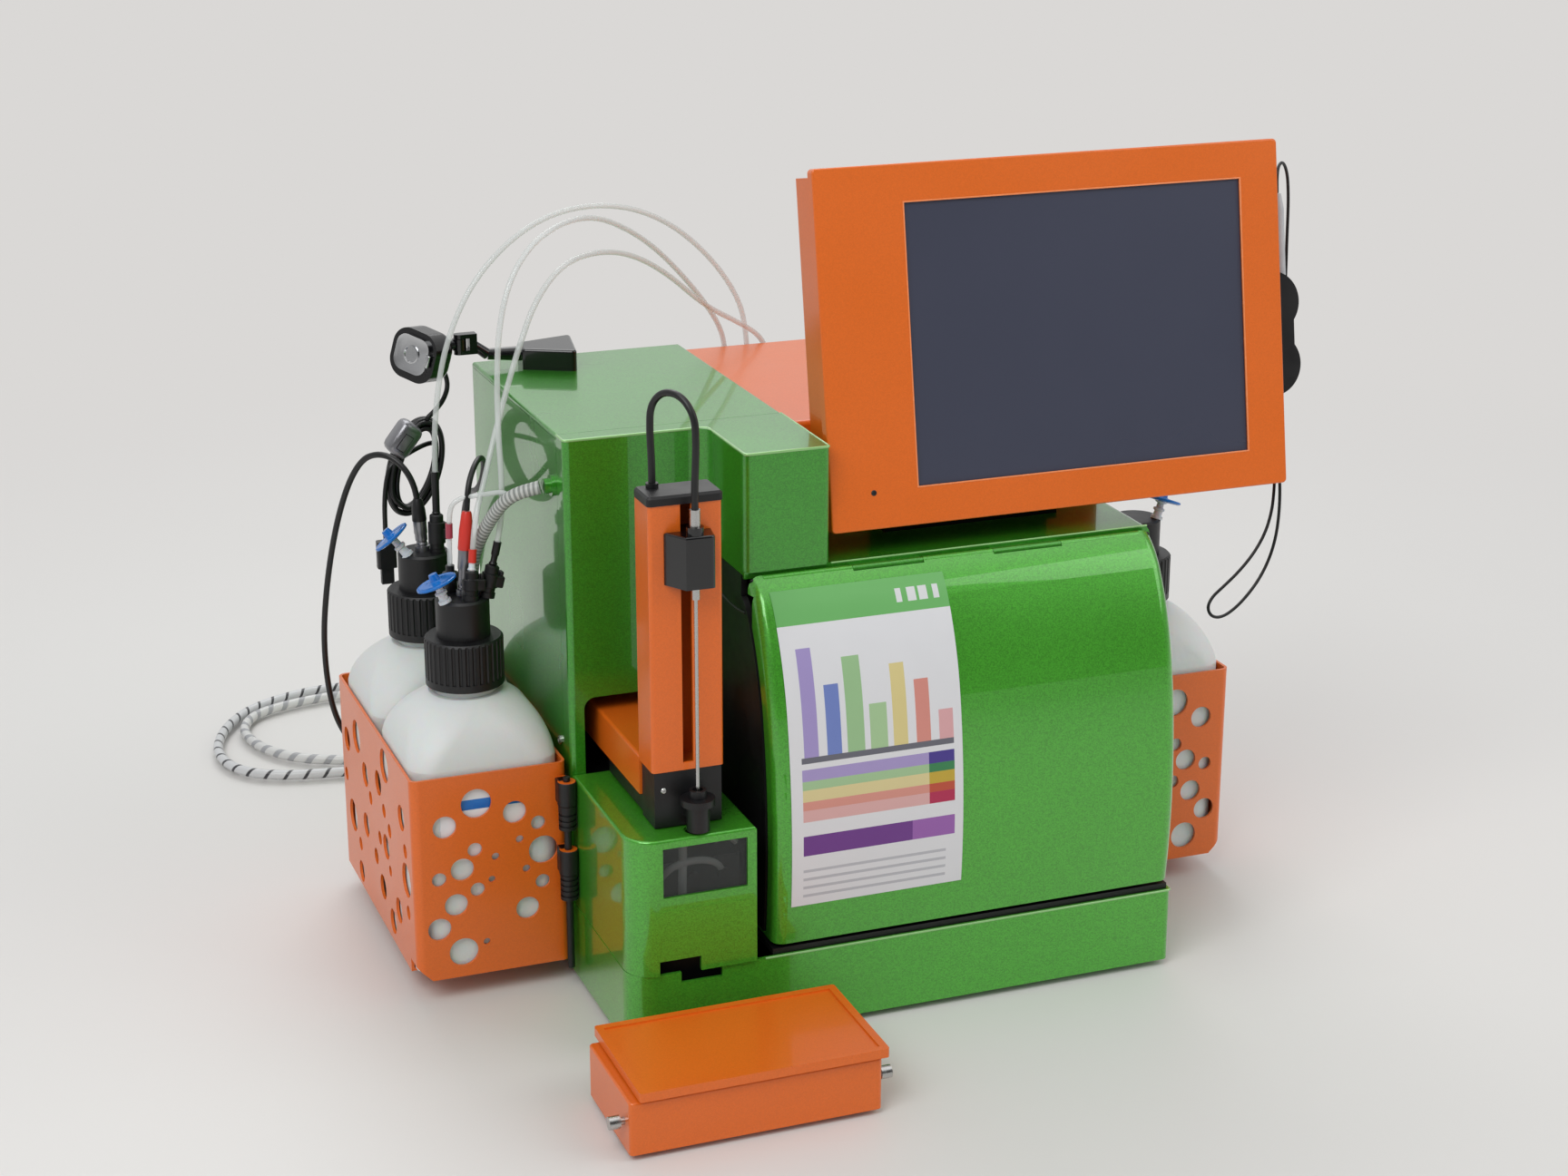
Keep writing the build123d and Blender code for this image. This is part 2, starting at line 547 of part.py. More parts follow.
ARM_CABLE = [(31, 36, 376), (31, 36, 391), (30.2, 36.5, 409), (30.8, 36.3, 425.5), (35.8, 27, 436),
             (43, 13.6, 436), (48.2, 3.8, 425), (48.7, 3, 409), (48.4, 3.6, 394), (48, 4.5, 380),
             (48, 4.5, 366)]


# Monitor


def on_monitor(solid):
    """Move a solid from the monitor's own frame to its tilted place."""
    return Pos(*MONITOR_AT) * Rot(-MONITOR_TILT, 0, 0) * solid


def monitor_frame():
    bezel = box((0, MONITOR_W), (0, BEZEL_D), (0, MONITOR_H))
    bezel = fillet(bezel.edges().filter_by(Axis.Y), 3)
    bezel = fillet(bezel.edges().group_by(Axis.Y)[0], 1.2)
    screen = box((SCREEN_LEFT, SCREEN_LEFT + SCREEN_W), (-1, BEZEL_D + 1),
                 (SCREEN_LOW, SCREEN_LOW + SCREEN_H))
    return on_monitor(bezel - screen)


def monitor_back():
    """Rear box with vents and the two ears of the tilt hinge."""
    low, far = BACK_INSET, MONITOR_W - BACK_INSET
    shell = box((low, far), (BEZEL_D, MONITOR_D), (low, MONITOR_H - low))
    shell = fillet(shell.edges().group_by(Axis.Y)[-1], 4)
    hollow = box((low + 2, far - 2), (BEZEL_D + 2, MONITOR_D - 2), (low + 2, MONITOR_H - low - 2))
    shell -= hollow
    for i in range(9):
        x = 100 + 15 * i
        shell -= box((x, x + 6), (MONITOR_D - 3, MONITOR_D + 1), (150, 200))
    for x in EAR_X:
        ear = box((x - 4, x + 4), (MONITOR_D - 1, TILT_AT[0]), (TILT_AT[1] - 9, TILT_AT[1] + 9))
        ear += rod((x - 4, *TILT_AT), (x + 4, *TILT_AT), 9)
        shell += ear - rod((x - 5, *TILT_AT), (x + 5, *TILT_AT), TILT_PIN_R + PIN_FIT)
    return on_monitor(shell)


def tilt_axis():
    """Y and Z of the monitor's hinge pin."""
    turn = radians(MONITOR_TILT)
    y = MONITOR_AT[1] + TILT_AT[0] * cos(turn) + TILT_AT[1] * sin(turn)
    z = MONITOR_AT[2] + TILT_AT[1] * cos(turn) - TILT_AT[0] * sin(turn)
    return y, z


def touch_screen():
    edge = 0.4
    panel = box((SCREEN_LEFT + edge, SCREEN_LEFT + SCREEN_W - edge), (1.6, BEZEL_D),
                (SCREEN_LOW + edge, SCREEN_LOW + SCREEN_H - edge))
    return on_monitor(panel)


def monitor_bracket():
    """Foot on the deck with a pair of cheeks round each ear and the hinge pin."""
    y, z = tilt_axis()
    left, right = (MONITOR_AT[0] + x for x in EAR_X)
    base = box((left - 14, right + 14), (y - 16, 127.5), (HOUSING_TOP, HOUSING_TOP + 4))
    base += box((left - 14, right + 18), (125, 127.5), (HOUSING_TOP, HOUSING_TOP + 30))
    for x in (left, right):
        for start in (x - 10, x + 4.3):
            cheek = box((start, start + 5.7), (y - 7, y + 8), (HOUSING_TOP, z))
            base += cheek + rod((start, y, z), (start + 5.7, y, z), 8)
    return base + rod((left - 12, y, z), (right + 12, y, z), TILT_PIN_R)


def stylus_holder():
    """Two-lobed holder on the monitor's right side, with the stylus bore."""
    inner = MONITOR_W - BACK_INSET
    low, high = LOBES_Z
    plate = box((inner, STYLUS_X + 5.5), (22, 38), (low + 12, high - 12))
    for z in (low + LOBE_R, high - LOBE_R):
        plate += Pos(STYLUS_X - 11.7, STYLUS_DEPTH, z) * Rot(90, 0, 0) * Cylinder(LOBE_R, 16)
    plate -= box((0, inner), (0, 60), (0, MONITOR_H))
    plate -= box((inner - 1, MONITOR_W + GAP), (0, BEZEL_D + GAP), (0, MONITOR_H))
    at = (STYLUS_X, STYLUS_DEPTH)
    bore = rod((*at, STYLUS_Z[0] - 2 * GAP), (*at, high + 10), STYLUS_R + GAP)
    return on_monitor(plate - bore)


def stylus():
    at = (STYLUS_X, STYLUS_DEPTH)
    low, high = STYLUS_Z
    tip = cone((*at, low), (*at, low + 3), 2, STYLUS_R)
    body = rod((*at, low + 3), (*at, high), STYLUS_R)
    return on_monitor(tip + body + cone((*at, high), (*at, high + 10), STYLUS_R, 2.5))


# Bottles and their holders, drawn on the left; the right one is a mirror image


def mirrored(solid):
    """Mirror a solid about the body's middle."""
    return mirror(solid, about=Plane.YZ.offset(BODY_W / 2))


def bottle_holder():
    """Open box of perforated sheet with a notched outer front corner."""
    x = (-HOLDER_IN - HOLDER_W, -HOLDER_IN)
    shell = box(x, HOLDER_Y, HOLDER_Z)
    shell = fillet(upright_edges(shell, *[(a, b) for a in x for b in HOLDER_Y]), 6)
    inside = (x[0] + HOLDER_SHEET, x[1] - HOLDER_SHEET)
    inside_y = (HOLDER_Y[0] + HOLDER_SHEET, HOLDER_Y[1] - HOLDER_SHEET)
    hollow = box(inside, inside_y, (HOLDER_Z[0] + HOLDER_SHEET, HOLDER_Z[1] + 1))
    hollow = fillet(upright_edges(hollow, *[(a, b) for a in inside for b in inside_y]), 4)
    shell -= hollow
    for along, z, radius in FRONT_HOLES:
        shell -= rod((-along - 3, HOLDER_Y[0] - 1, z), (-along - 3, HOLDER_Y[0] + 4, z), radius)
        shell -= rod((-along - 3, HOLDER_Y[1] - 4, z), (-along - 3, HOLDER_Y[1] + 1, z), radius)
    for y, z, radius in SIDE_HOLES:
        shell -= rod((x[0] - 1, y, z), (x[0] + 4, y, z), radius)
    notch = [(x[0], HOLDER_Z[0]), (x[0] + HOLDER_NOTCH, HOLDER_Z[0]), (x[0], HOLDER_Z[0] + HOLDER_NOTCH)]
    wedge = extrude(Plane.XZ * Polygon(*notch, align=None), 20, both=True)
    shell -= Pos(0, HOLDER_Y[0], 0) * wedge
    for low, high in HOLDER_KNUCKLES:
        shell += box((ROD_X - 5, ROD_X + 2), (ROD_Y, HOLDER_Y[0] + 1), (low, high))
        shell += ribbed_barrel(low, high)
    return shell - rod((ROD_X, ROD_Y, 0), (ROD_X, ROD_Y, 200), ROD_R + PIN_FIT)


def ribbed_barrel(low, high):
    """Hinge knuckle with grooves round it."""
    barrel = rod((ROD_X, ROD_Y, low), (ROD_X, ROD_Y, high), KNUCKLE_R)
    start = low + 2.5
    while start < high - 3:
        groove = rod((ROD_X, ROD_Y, start), (ROD_X, ROD_Y, start + 1.5), KNUCKLE_R + 2)
        barrel -= groove - rod((ROD_X, ROD_Y, start), (ROD_X, ROD_Y, start + 1.5), KNUCKLE_R - 0.8)
        start += 4
    return barrel


def hinge_rod():
    """Rod on the body's front corner, with the fixed knuckles and their leaves."""
    hinge = rod((ROD_X, ROD_Y, 16), (ROD_X, ROD_Y, 155), ROD_R)
    for low, high in BODY_KNUCKLES:
        hinge += ribbed_barrel(low, high)
        hinge += box((ROD_X + 3.3, 0), (ROD_Y - 1, ALCOVE_Y + 14), (low, high))
    return hinge


def bottle_outline(half_gap, z):
    """Rounded square section of a bottle at a height."""
    side, corner = BOTTLE_SECTIONS[z]
    return Pos(0, 0, z) * RectangleRounded(side - 2 * half_gap, side - 2 * half_gap, corner - half_gap)


def bottle():
    """Square bottle with a domed shoulder and an open neck."""
    def form(wall, bottom):
        side, corner = BOTTLE_SECTIONS[BOTTLE_SHOULDER]
        flat = RectangleRounded(side - 2 * wall, side - 2 * wall, corner - wall)
        body = Pos(0, 0, bottom) * extrude(flat, BOTTLE_SHOULDER - bottom)
        return body + loft([bottle_outline(wall, z) for z in BOTTLE_SECTIONS])
    floor = HOLDER_Z[0] + HOLDER_SHEET + GAP
    shell = form(0, floor) + rod((0, 0, NECK_Z), (0, 0, CAP_Z[0] + 14), NECK_R)
    hollow = Pos(0, 0, -BOTTLE_WALL) * form(BOTTLE_WALL, floor + 2 * BOTTLE_WALL)
    return shell - hollow - rod((0, 0, NECK_Z - 8), (0, 0, CAP_Z[0] + 20), NECK_R - 2.5)


def cap():
    """Ribbed screw cap with a hub for the fittings."""
    body = rod((0, 0, CAP_Z[0]), (0, 0, CAP_Z[1]), CAP_R)
    body = chamfer(body.edges().group_by(Axis.Z)[-1], 1.5)
    for i in range(CAP_RIBS):
        angle = radians(360 * i / CAP_RIBS)
        x, y = (CAP_R + 0.4) * cos(angle), (CAP_R + 0.4) * sin(angle)
        body -= rod((x, y, CAP_Z[0] + 5), (x, y, CAP_Z[1] + 1), 1.3)
    body -= rod((0, 0, CAP_Z[0] - 1), (0, 0, CAP_Z[0] + 16), NECK_R + GAP)
    hub = rod((0, 0, CAP_Z[1]), (0, 0, HUB_TOP), HUB_R)
    return body + chamfer(hub.edges().group_by(Axis.Z)[-1], 1.5)


def vent_filter(at, tilt, turn):
    """Disc filter on a luer stub, leaning from the hub."""
    stub = rod((0, 0, 0), (0, 0, 13), 3.2)
    disc = rod((0, 0, 13), (0, 0, 16.5), 14)
    disc = chamfer(disc.edges().group_by(Axis.Z)[-1], 1.2)
    nub = cone((0, 0, 16.5), (0, 0, 22), 4, 2.6)
    return Pos(*at) * Rot(0, 0, turn) * Rot(0, -tilt, 0) * (stub + disc + nub)


def foot_on_hub(route):
    """Foot on the hub's top and direction of the fitting that starts a route."""
    top = Vector(*route[0])
    way = (Vector(*route[1]) - top).normalized()
    return top - way * ((top.Z - HUB_TOP + 1) / way.Z), top


def coupling(route):
    """Quick coupling: a fat body with a collar and a hose stub, in line with its tube."""
    foot, top = foot_on_hub(route)
    way = (top - foot).normalized()
    length = (top - foot).length
    body = rod(tuple(foot), tuple(foot + way * (length - 6)), 5.5)
    stub = rod(tuple(foot + way * (length - 7)), tuple(top), 2.6)
    latch = Plane(origin=foot + way * (length * 0.5), z_dir=way) * Box(13, 7, 8)
    return body + stub + latch


def sensor_plugs():
    """Level sensors' plugs with their bend boots."""
    plugs = []
    for route in (FRONT_SENSOR_CABLE, REAR_SENSOR_CABLE):
        foot, top = foot_on_hub(route)
        way = (top - foot).normalized()
        length = (top - foot).length
        metal = rod(tuple(foot), tuple(foot + way * min(22, length - 2)), 4.2)
        boot = cone(tuple(foot + way * min(22, length - 2)), tuple(top), 4.2, 3.0)
        plugs.append(metal + boot)
    return plugs


# Accessory sampler


def sampler_case():
    case = box(SAMPLER_X, SAMPLER_Y, SAMPLER_Z)
    case = fillet(case.edges().filter_by(Axis.Z), 3)
    case = fillet(case.edges().group_by(Axis.Z)[-1], 1.5)
    wall = 2
    hollow = box((SAMPLER_X[0] + wall, SAMPLER_X[1] - wall), (SAMPLER_Y[0] + wall, SAMPLER_Y[1] - wall),
                 (SAMPLER_Z[0] + wall, SAMPLER_Z[1] - 8))
    slot = box((TRAY_X[0] + 2, TRAY_X[1] - 8), RUNNER_Y, (SAMPLER_Z[1] - 6, SAMPLER_Z[1] + 1))
    return case - hollow - slot


def sampler_tray():
    """Rimmed plate with the runner that slides in the case's slot."""
    tray = box(TRAY_X, TRAY_Y, TRAY_Z)
    tray = fillet(tray.edges().filter_by(Axis.Z), 2)
    rim = 5
    tray -= box((TRAY_X[0] + rim, TRAY_X[1] - rim), (TRAY_Y[0] + rim, TRAY_Y[1] - rim),
                (TRAY_Z[1] - 1.2, TRAY_Z[1] + 1))
    runner = box((-10, 98), (RUNNER_Y[0] + GAP, RUNNER_Y[1] - GAP), (SAMPLER_Z[1] - 6 + GAP, TRAY_Z[0]))
    return tray + runner


def sampler_knobs():
    """Locking knobs on both ends of the case."""
    knobs = []
    for x, way in ((SAMPLER_X[0], -1), (SAMPLER_X[1], 1)):
        stem = rod((x, -109, 22.5), (x + way * 3, -109, 22.5), 2.5)
        knobs.append(stem + rod((x + way * 3, -109, 22.5), (x + way * 10, -109, 22.5), 4.2))
    return knobs


# Code reader


def reader_base():
    """Flat wedge that stands on the tower's top."""
    outline = [(28, 316), (62.5, 297.3), (72.7, 349), (30, 338)]
    wedge = prism(outline, (TOWER_TOP, TOWER_TOP + 15))
    wedge = fillet(wedge.edges().filter_by(Axis.Z), 3)
    wedge = fillet(wedge.edges().group_by(Axis.Z)[-1], 2)
    arm = cone((33, 327, TOWER_TOP + 9), (6, 330, TOWER_TOP + 10), 5.5, 4)
    x, y, z = READER_AT
    arm += cone((6, 330, TOWER_TOP + 10), (x + 8, y, z), 4, 3.6)
    clevis = box((x + 6.5, x + 12), (y - 4, y + 4), (z - 7.3, z + 7.3))
    for low in (z - 7.3, z + 4.3):
        clevis += box((x, x + 12), (y - 4, y + 4), (low, low + 3)) + rod((x, y, low), (x, y, low + 3), 4)
    return wedge + arm + clevis + rod((x, y, z - 7), (x, y, z + 7), READER_PIN_R)


def reader_head():
    """Rounded head with its lens ring, turned to face the bottles."""
    head = Box(38, 24, 36)
    head = fillet(head.edges().filter_by(Axis.Y), 13)
    head = fillet(head.edges().group_by(Axis.Y)[-1], 8)
    ring = Pos(0, -12, 1) * extrude(Plane.XZ * RectangleRounded(25, 23, 7), 2)
    lens = Pos(0, -12, 1) * extrude(Plane.XZ * RectangleRounded(18, 16, 5), 1)
    head += ring - Pos(0, -1, 0) * lens
    placed = Pos(READER_AT[0] - 26, READER_AT[1], READER_AT[2] - 5) * Rot(6, 14, -READER_TURN) * head
    x, y, z = READER_AT
    sleeve = rod((x, y, z - 4), (x, y, z + 4), 5)
    link = rod((x, y, z), (x - 14, y, z), 3.6)
    return placed + link + sleeve - rod((x, y, 380), (x, y, 420), READER_PIN_R + PIN_FIT)


# Cords

TUBE_A = [(-47, 281, 318), (-46.5, 282, 340), (-44, 285, 366), (-38, 289, 396), (-28, 293, 424),
          (-11, 297, 453),
          (15, 303, 477), (46, 312, 492), (80, 321, 496), (113, 329, 491), (142, 336, 478), (168, 343, 458),
          (190, 349, 434), (206, 354, 408), (211, 357, 384), (212, 357, 363), (212, 357, 344)]
TUBE_B = [(-33.5, 175, 297), (-28, 176, 318), (-26, 181, 345), (-25, 190, 376), (-23, 196, 410),
          (-20, 199, 441),
          (-11, 205, 470), (6, 215, 491), (32, 232, 502), (64, 257, 501), (95, 280, 486), (123, 301, 466),
          (150, 321, 440), (174, 338, 413), (190, 351, 390), (195, 357, 367), (195, 357, 344)]
TUBE_C = [(-50, 173, 294), (-47, 177, 318), (-36, 189, 342), (-26, 200, 366), (-14, 211, 393), (-2, 220, 420),
          (13, 226, 453), (38, 243, 473), (70, 264, 475), (101, 286, 466), (132, 305, 447), (166, 321, 417),
          (199, 339, 398), (220, 351, 384), (229, 357, 366), (229, 357, 344)]
FRONT_SENSOR_CABLE = [(-49, 187, 324), (-48, 188, 334), (-45, 192, 343.5), (-40, 199, 350), (-34, 209, 352.5),
                      (-28, 221, 349), (-23.5, 236, 338), (-20.5, 256, 322), (-18.5, 280, 309),
                      (-15, 307, 301),
                      (-12, 332, 290), (-10, 352, 272), (-8, 365, 249), (-5, 372, 222), (0, 374, 195),
                      (7, 374, 174), (14, 371.5, 158), (18.5, 365.5, 147.5), (20, 358, 142), (20, 350, 140)]
REAR_SENSOR_CABLE = [(-58, 288, 294), (-58.5, 289, 306), (-61, 291.5, 317.5), (-66, 296, 327),
                     (-73, 302.5, 333),
                     (-81, 311, 333.5), (-88.5, 321, 328), (-95.5, 332, 312), (-101.5, 343, 288),
                     (-106.5, 355, 257),
                     (-111, 363, 222), (-114, 368, 186), (-113, 371, 150), (-108, 373, 118), (-96, 374, 94),
                     (-77, 375, 79), (-54, 376, 72), (-28, 376.5, 72), (-5, 375.5, 77), (11, 371.5, 84),
                     (21, 363, 90), (24, 350, 92)]
READER_CABLE = [(-34, 340.8, 386), (-26.5, 348, 384.5), (-19.5, 353.5, 377), (-17, 355, 366),
                (-21, 354.5, 356),
                (-28, 353, 349), (-36, 352, 343)]
PLUG_CABLE = [(-56, 352, 320), (-61, 353, 314), (-65, 353, 304), (-67.5, 353, 288),
              (-68, 353, 272), (-68, 353, 256)]
WASTE_HOSE = [(-46, 195, 268.6), (-45.2, 194, 281), (-43.3, 189, 296), (-39.5, 180, 311), (-35, 169.5, 325),
              (-30, 160, 336), (-21.5, 152.5, 343.5), (-9.2, 148.5, 346.4)]
TABLE_HOSE = [(60, 350, 30), (60, 370, 30), (58, 395, 20), (50, 420, 11), (38, 450, 6), (18, 482, 6),
              (-12, 512, 6), (-50, 534, 6), (-88, 540, 6), (-120, 547, 6), (-146, 564, 6), (-159, 594, 6),
              (-158, 630, 6), (-144, 668, 6), (-122, 700, 6), (-92, 720, 6), (-54, 732, 6), (-14, 730, 6),
              (26, 712, 6), (60, 682, 6), (82, 642, 6), (92, 595, 6), (96, 545, 6), (98, 495, 6),
              (99, 450, 8), (100, 415, 15), (100, 388, 25), (100, 369, 30), (100, 350, 30)]
TABLE_LOOP = [(74, 350, 30), (74, 370, 30), (73, 396, 21), (69, 424, 11), (60, 458, 6), (42, 494, 6),
              (12, 526, 6), (-26, 550, 6), (-66, 562, 6), (-98, 577, 6), (-120, 604, 6), (-130, 636, 6),
              (-130, 664, 6), (-116, 690, 6), (-88, 704, 6), (-50, 712, 6), (-14, 711, 6), (20, 695, 6),
              (47, 668, 6), (66, 634, 6), (77, 592, 6), (81, 546, 6), (83, 498, 6), (84, 452, 7),
              (86, 416, 14), (87, 390, 24), (87, 370, 30), (87, 350, 30)]
# In the monitor's frame
LANYARD = [(STYLUS_X, 30, 196.3), (354, 30.2, 208), (357.6, 32.8, 216), (364, 37.6, 217), (369, 41.4, 209.5),
           (370.4, 43, 198), (370.8, 44.6, 184), (370, 46, 165), (369, 47, 142), (367, 47, 118), (364, 46, 94), (360, 44, 70),
           (354, 40, 47), (348.5, 34, 26), (344, 27.5, 8), (340, 23, -8), (337.2, 22, -22),
           (331.5, 22, -37), (322.5, 23.5, -51), (310.5, 24.7, -63), (298, 25.6, -72.5), (290, 25.8, -78),
           (285.4, 25.6, -85), (288.3, 25.4, -92), (296.5, 25.6, -93.5), (307, 26.2, -89),
           (318, 26.4, -80.5), (328, 26, -69.5), (335.5, 24.5, -56), (340, 22.5, -41), (342, 20.5, -24),
           (342.6, 19.2, -6), (342.8, 20.5, 13), (342.4, 25, 33), (342, 30, 57.7)]


def cable_hank():
    """Outer shape of the wound cable and its strap."""
    ring = extrude(Plane.XZ * Ellipse(20, 38), 7, both=True)
    ring = fillet(ring.edges(), 5)
    return Pos(-43, 357, 308) * Rot(0, 18, 0) * ring


def cable_plug():
    x, y, z = PLUG_CABLE[-1]
    body = box((x - 7, x + 7), (y - 4, y + 4), (z - 20, z))
    tongue = box((x - 4.5, x + 4.5), (y - 2.5, y + 2.5), (z - 32, z - 20))
    return fillet(body.edges().filter_by(Axis.Z), 2) + tongue


def build():
    """Make every node."""
    keep("base_tray", base_tray())
    keep("feet", *feet())
    keep("tower_front", tower_front())
    keep("tower_top", tower_top())
    keep("side_panel_left", side_panel_left())
    keep("right_shell", right_shell())
    keep("rear_cover", rear_cover())
    keep("rear_panel", rear_panel())
    keep("power_inlet", power_inlet())
    keep("fluid_ports", fluid_ports())
    keep("optics_casing", optics_casing())
    keep("optical_bench", optical_bench())
    keep("laser_and_detectors", laser_module(), *detectors())
    keep("flow_cell", flow_cell())
    keep("front_door", front_door())
    keep("sample_cover", sample_cover())
    keep("cover_window", cover_window())
    keep("fluidics_block", fluidics_block())
    keep("arm_tunnel", arm_tunnel())
    keep("arm_base", arm_base())
    keep("arm_tower", arm_tower())
    keep("arm_cap", arm_cap())
    keep("arm_foot", arm_foot())
    keep("wash_cup", wash_cup())
    keep("carriage", carriage())
    keep("needle", needle())
    keep("arm_cable", cord(ARM_CABLE, 4.6), is_cord=True)
    keep("monitor_frame", monitor_frame())
    keep("monitor_back", monitor_back())
    keep("touch_screen", touch_screen())
    keep("monitor_bracket", monitor_bracket())
    keep("stylus_holder", stylus_holder())
    keep("stylus", stylus())
    keep("stylus_lanyard", on_monitor(cord(LANYARD, 2.2)), is_cord=True)
    holder = bottle_holder()
    keep("holder_left", holder)
    keep("holder_right", mirrored(holder))
    door_pin = rod((DOOR_X[0] + 2, HINGE_Y, HINGE_Z), (DOOR_X[1] - 2, HINGE_Y, HINGE_Z), DOOR_PIN_R)
    keep("hinge_pins", door_pin, hinge_rod(), mirrored(hinge_rod()))
    bottles = [Pos(BOTTLE_X, y, 0) * bottle() for y in BOTTLE_Y]
    caps = [Pos(BOTTLE_X, y, 0) * cap() for y in BOTTLE_Y]
    keep("bottles_left", *bottles)
    keep("bottles_right", *[mirrored(b) for b in bottles])
    keep("caps_left", *caps)
    keep("caps_right", *[mirrored(c) for c in caps])
    keep("couplings_left", coupling(TUBE_A), coupling(TUBE_B), coupling(TUBE_C))
    filters = [vent_filter((BOTTLE_X - 13, BOTTLE_Y[0] - 7, HUB_TOP - 1), 22, -21),
               vent_filter((BOTTLE_X - 12, BOTTLE_Y[1] - 6, HUB_TOP - 1), 40, -21)]
    keep("vent_filters_left", *filters)
    keep("vent_filter_right", mirrored(filters[0]))
    keep("sensor_plugs", *sensor_plugs())
    keep("sampler_case", sampler_case())
    keep("sampler_tray", sampler_tray())
    keep("sampler_knobs", *sampler_knobs())
    keep("reader_base", reader_base())
    keep("reader_head", reader_head())
    keep("cable_hank", cable_hank(), is_cord=True)
    keep("cable_plug", cable_plug(), is_cord=True)
    keep("reader_cable", cord(READER_CABLE, 3.6), cord(PLUG_CABLE, 3.6), is_cord=True)
    keep("tube_a", cord(TUBE_A, 4.0), is_cord=True)
    keep("tube_b", cord(TUBE_B, 4.0), is_cord=True)
    keep("tube_c", cord(TUBE_C, 4.0), is_cord=True)
    keep("front_sensor_cable", cord(FRONT_SENSOR_CABLE, 4.0), is_cord=True)
    keep("rear_sensor_cable", cord(REAR_SENSOR_CABLE, 4.4), is_cord=True)
    keep("waste_hose", cord(WASTE_HOSE, 9.0), is_cord=True)
    keep("table_hose", cord(TABLE_HOSE, 8.0), cord(TABLE_LOOP, 8.0), is_cord=True)


def write():
    """Move the nodes to the frame's origin and write one file each."""
    os.makedirs("parts", exist_ok=True)
    firm = [s for name, solids in parts.items() if name not in cord_names for s in solids]
    boxes = [s.bounding_box() for s in firm]
    low_x, high_x = min(b.min.X for b in boxes), max(b.max.X for b in boxes)
    low_y, high_y = min(b.min.Y for b in boxes), max(b.max.Y for b in boxes)
    origin = ((low_x + high_x) / 2, (low_y + high_y) / 2)
    print(f"origin at X {origin[0]:.4f}, Y {origin[1]:.4f}; {len(parts)} nodes")
    for name, solids in parts.items():
        moved = [Pos(-origin[0], -origin[1], 0) * s for s in solids]
        node = moved[0] if len(moved) == 1 else Compound(children=moved)
        export_step(node, f"parts/{name}.step")


build()
write()
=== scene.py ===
"""A bench flow cytometer: its finishes, cords and small pieces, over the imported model.

Sizes and places are in millimetres on the instrument's own axes: X to the right from the tower's left side,
Y to the back from the base's front face and Z up from the bench.
"""
import logging
import math
from dataclasses import dataclass, field
from enum import Enum
from typing import Optional, Sequence

import bmesh
import bpy
from mathutils import Matrix, Vector


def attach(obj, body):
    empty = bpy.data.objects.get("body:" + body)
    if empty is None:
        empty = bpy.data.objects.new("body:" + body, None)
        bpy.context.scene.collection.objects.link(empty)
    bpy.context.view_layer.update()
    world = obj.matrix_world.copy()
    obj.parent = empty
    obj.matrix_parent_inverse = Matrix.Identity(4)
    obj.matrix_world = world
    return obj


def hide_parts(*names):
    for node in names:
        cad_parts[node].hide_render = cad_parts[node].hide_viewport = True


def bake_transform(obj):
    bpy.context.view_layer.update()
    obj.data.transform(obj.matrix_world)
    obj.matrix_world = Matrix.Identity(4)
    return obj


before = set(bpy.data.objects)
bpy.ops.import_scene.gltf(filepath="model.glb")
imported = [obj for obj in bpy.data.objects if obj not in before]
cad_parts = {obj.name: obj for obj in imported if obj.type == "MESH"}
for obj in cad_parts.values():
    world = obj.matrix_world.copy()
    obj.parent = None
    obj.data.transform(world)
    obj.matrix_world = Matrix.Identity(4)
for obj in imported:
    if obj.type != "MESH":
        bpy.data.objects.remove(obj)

Colour = tuple[float, float, float]
Point = tuple[float, float, float]
Span = tuple[float, float]
Link = tuple[bpy.types.Node, str | int, bpy.types.Node, str | int]

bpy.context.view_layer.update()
MIDDLE = Vector((206.7, 120.25, 0.0))  # of the underside, on the instrument's axes
TO_FRAME = Matrix.Scale(0.001, 4) @ Matrix.Translation(-MIDDLE)
ON_MONITOR = Matrix.Translation((159.8, 56.1, 322.1)) @ Matrix.Rotation(math.radians(-9.72), 4, "X")

BODY_W = 390.0
FINE_SCALE = 14.0  # the relief's grain, against the mottling's

log = logging.getLogger("flow_cytometer")


class Body(str, Enum):
    """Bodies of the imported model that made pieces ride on."""

    ROOT = "instrument"
    DOOR = "door"
    ARM = "arm"
    CARRIAGE = "carriage"
    MONITOR = "monitor"
    STYLUS = "stylus"
    LEFT = "left_holder"
    RIGHT = "right_holder"
    READER = "reader"


def screen(red: int, green: int, blue: int) -> Colour:
    """Linear colour of an 8-bit screen colour."""
    return tuple((c / 255 / 12.92) if c < 10 else ((c / 255 + 0.055) / 1.055) ** 2.4
                 for c in (red, green, blue))


def in_frame(point: Sequence[float]) -> Vector:
    """Point on the instrument's axes, moved to the shared frame in metres."""
    return TO_FRAME @ Vector(point)


# Finishes


def add_node(tree: bpy.types.NodeTree, kind: str, inputs: Optional[dict] = None,
             **settings: object) -> bpy.types.Node:
    """Add a shader node to a tree.

    Args:
        tree: The tree.
        kind: The node's kind, without the usual start of its name.
        inputs: Values of its inputs.
        settings: Its other settings.

    Returns:
        The node.
    """
    made = tree.nodes.new(f"ShaderNode{kind}")
    for name, value in settings.items():
        setattr(made, name, value)
    for socket, value in (inputs or {}).items():
        made.inputs[socket].default_value = value
    return made


def join(tree: bpy.types.NodeTree, *ends: Link) -> None:
    """Link nodes of a tree, each link as an output's node and name, then an input's node and name."""
    for source, output, target, socket in ends:
        tree.links.new(source.outputs[output], target.inputs[socket])


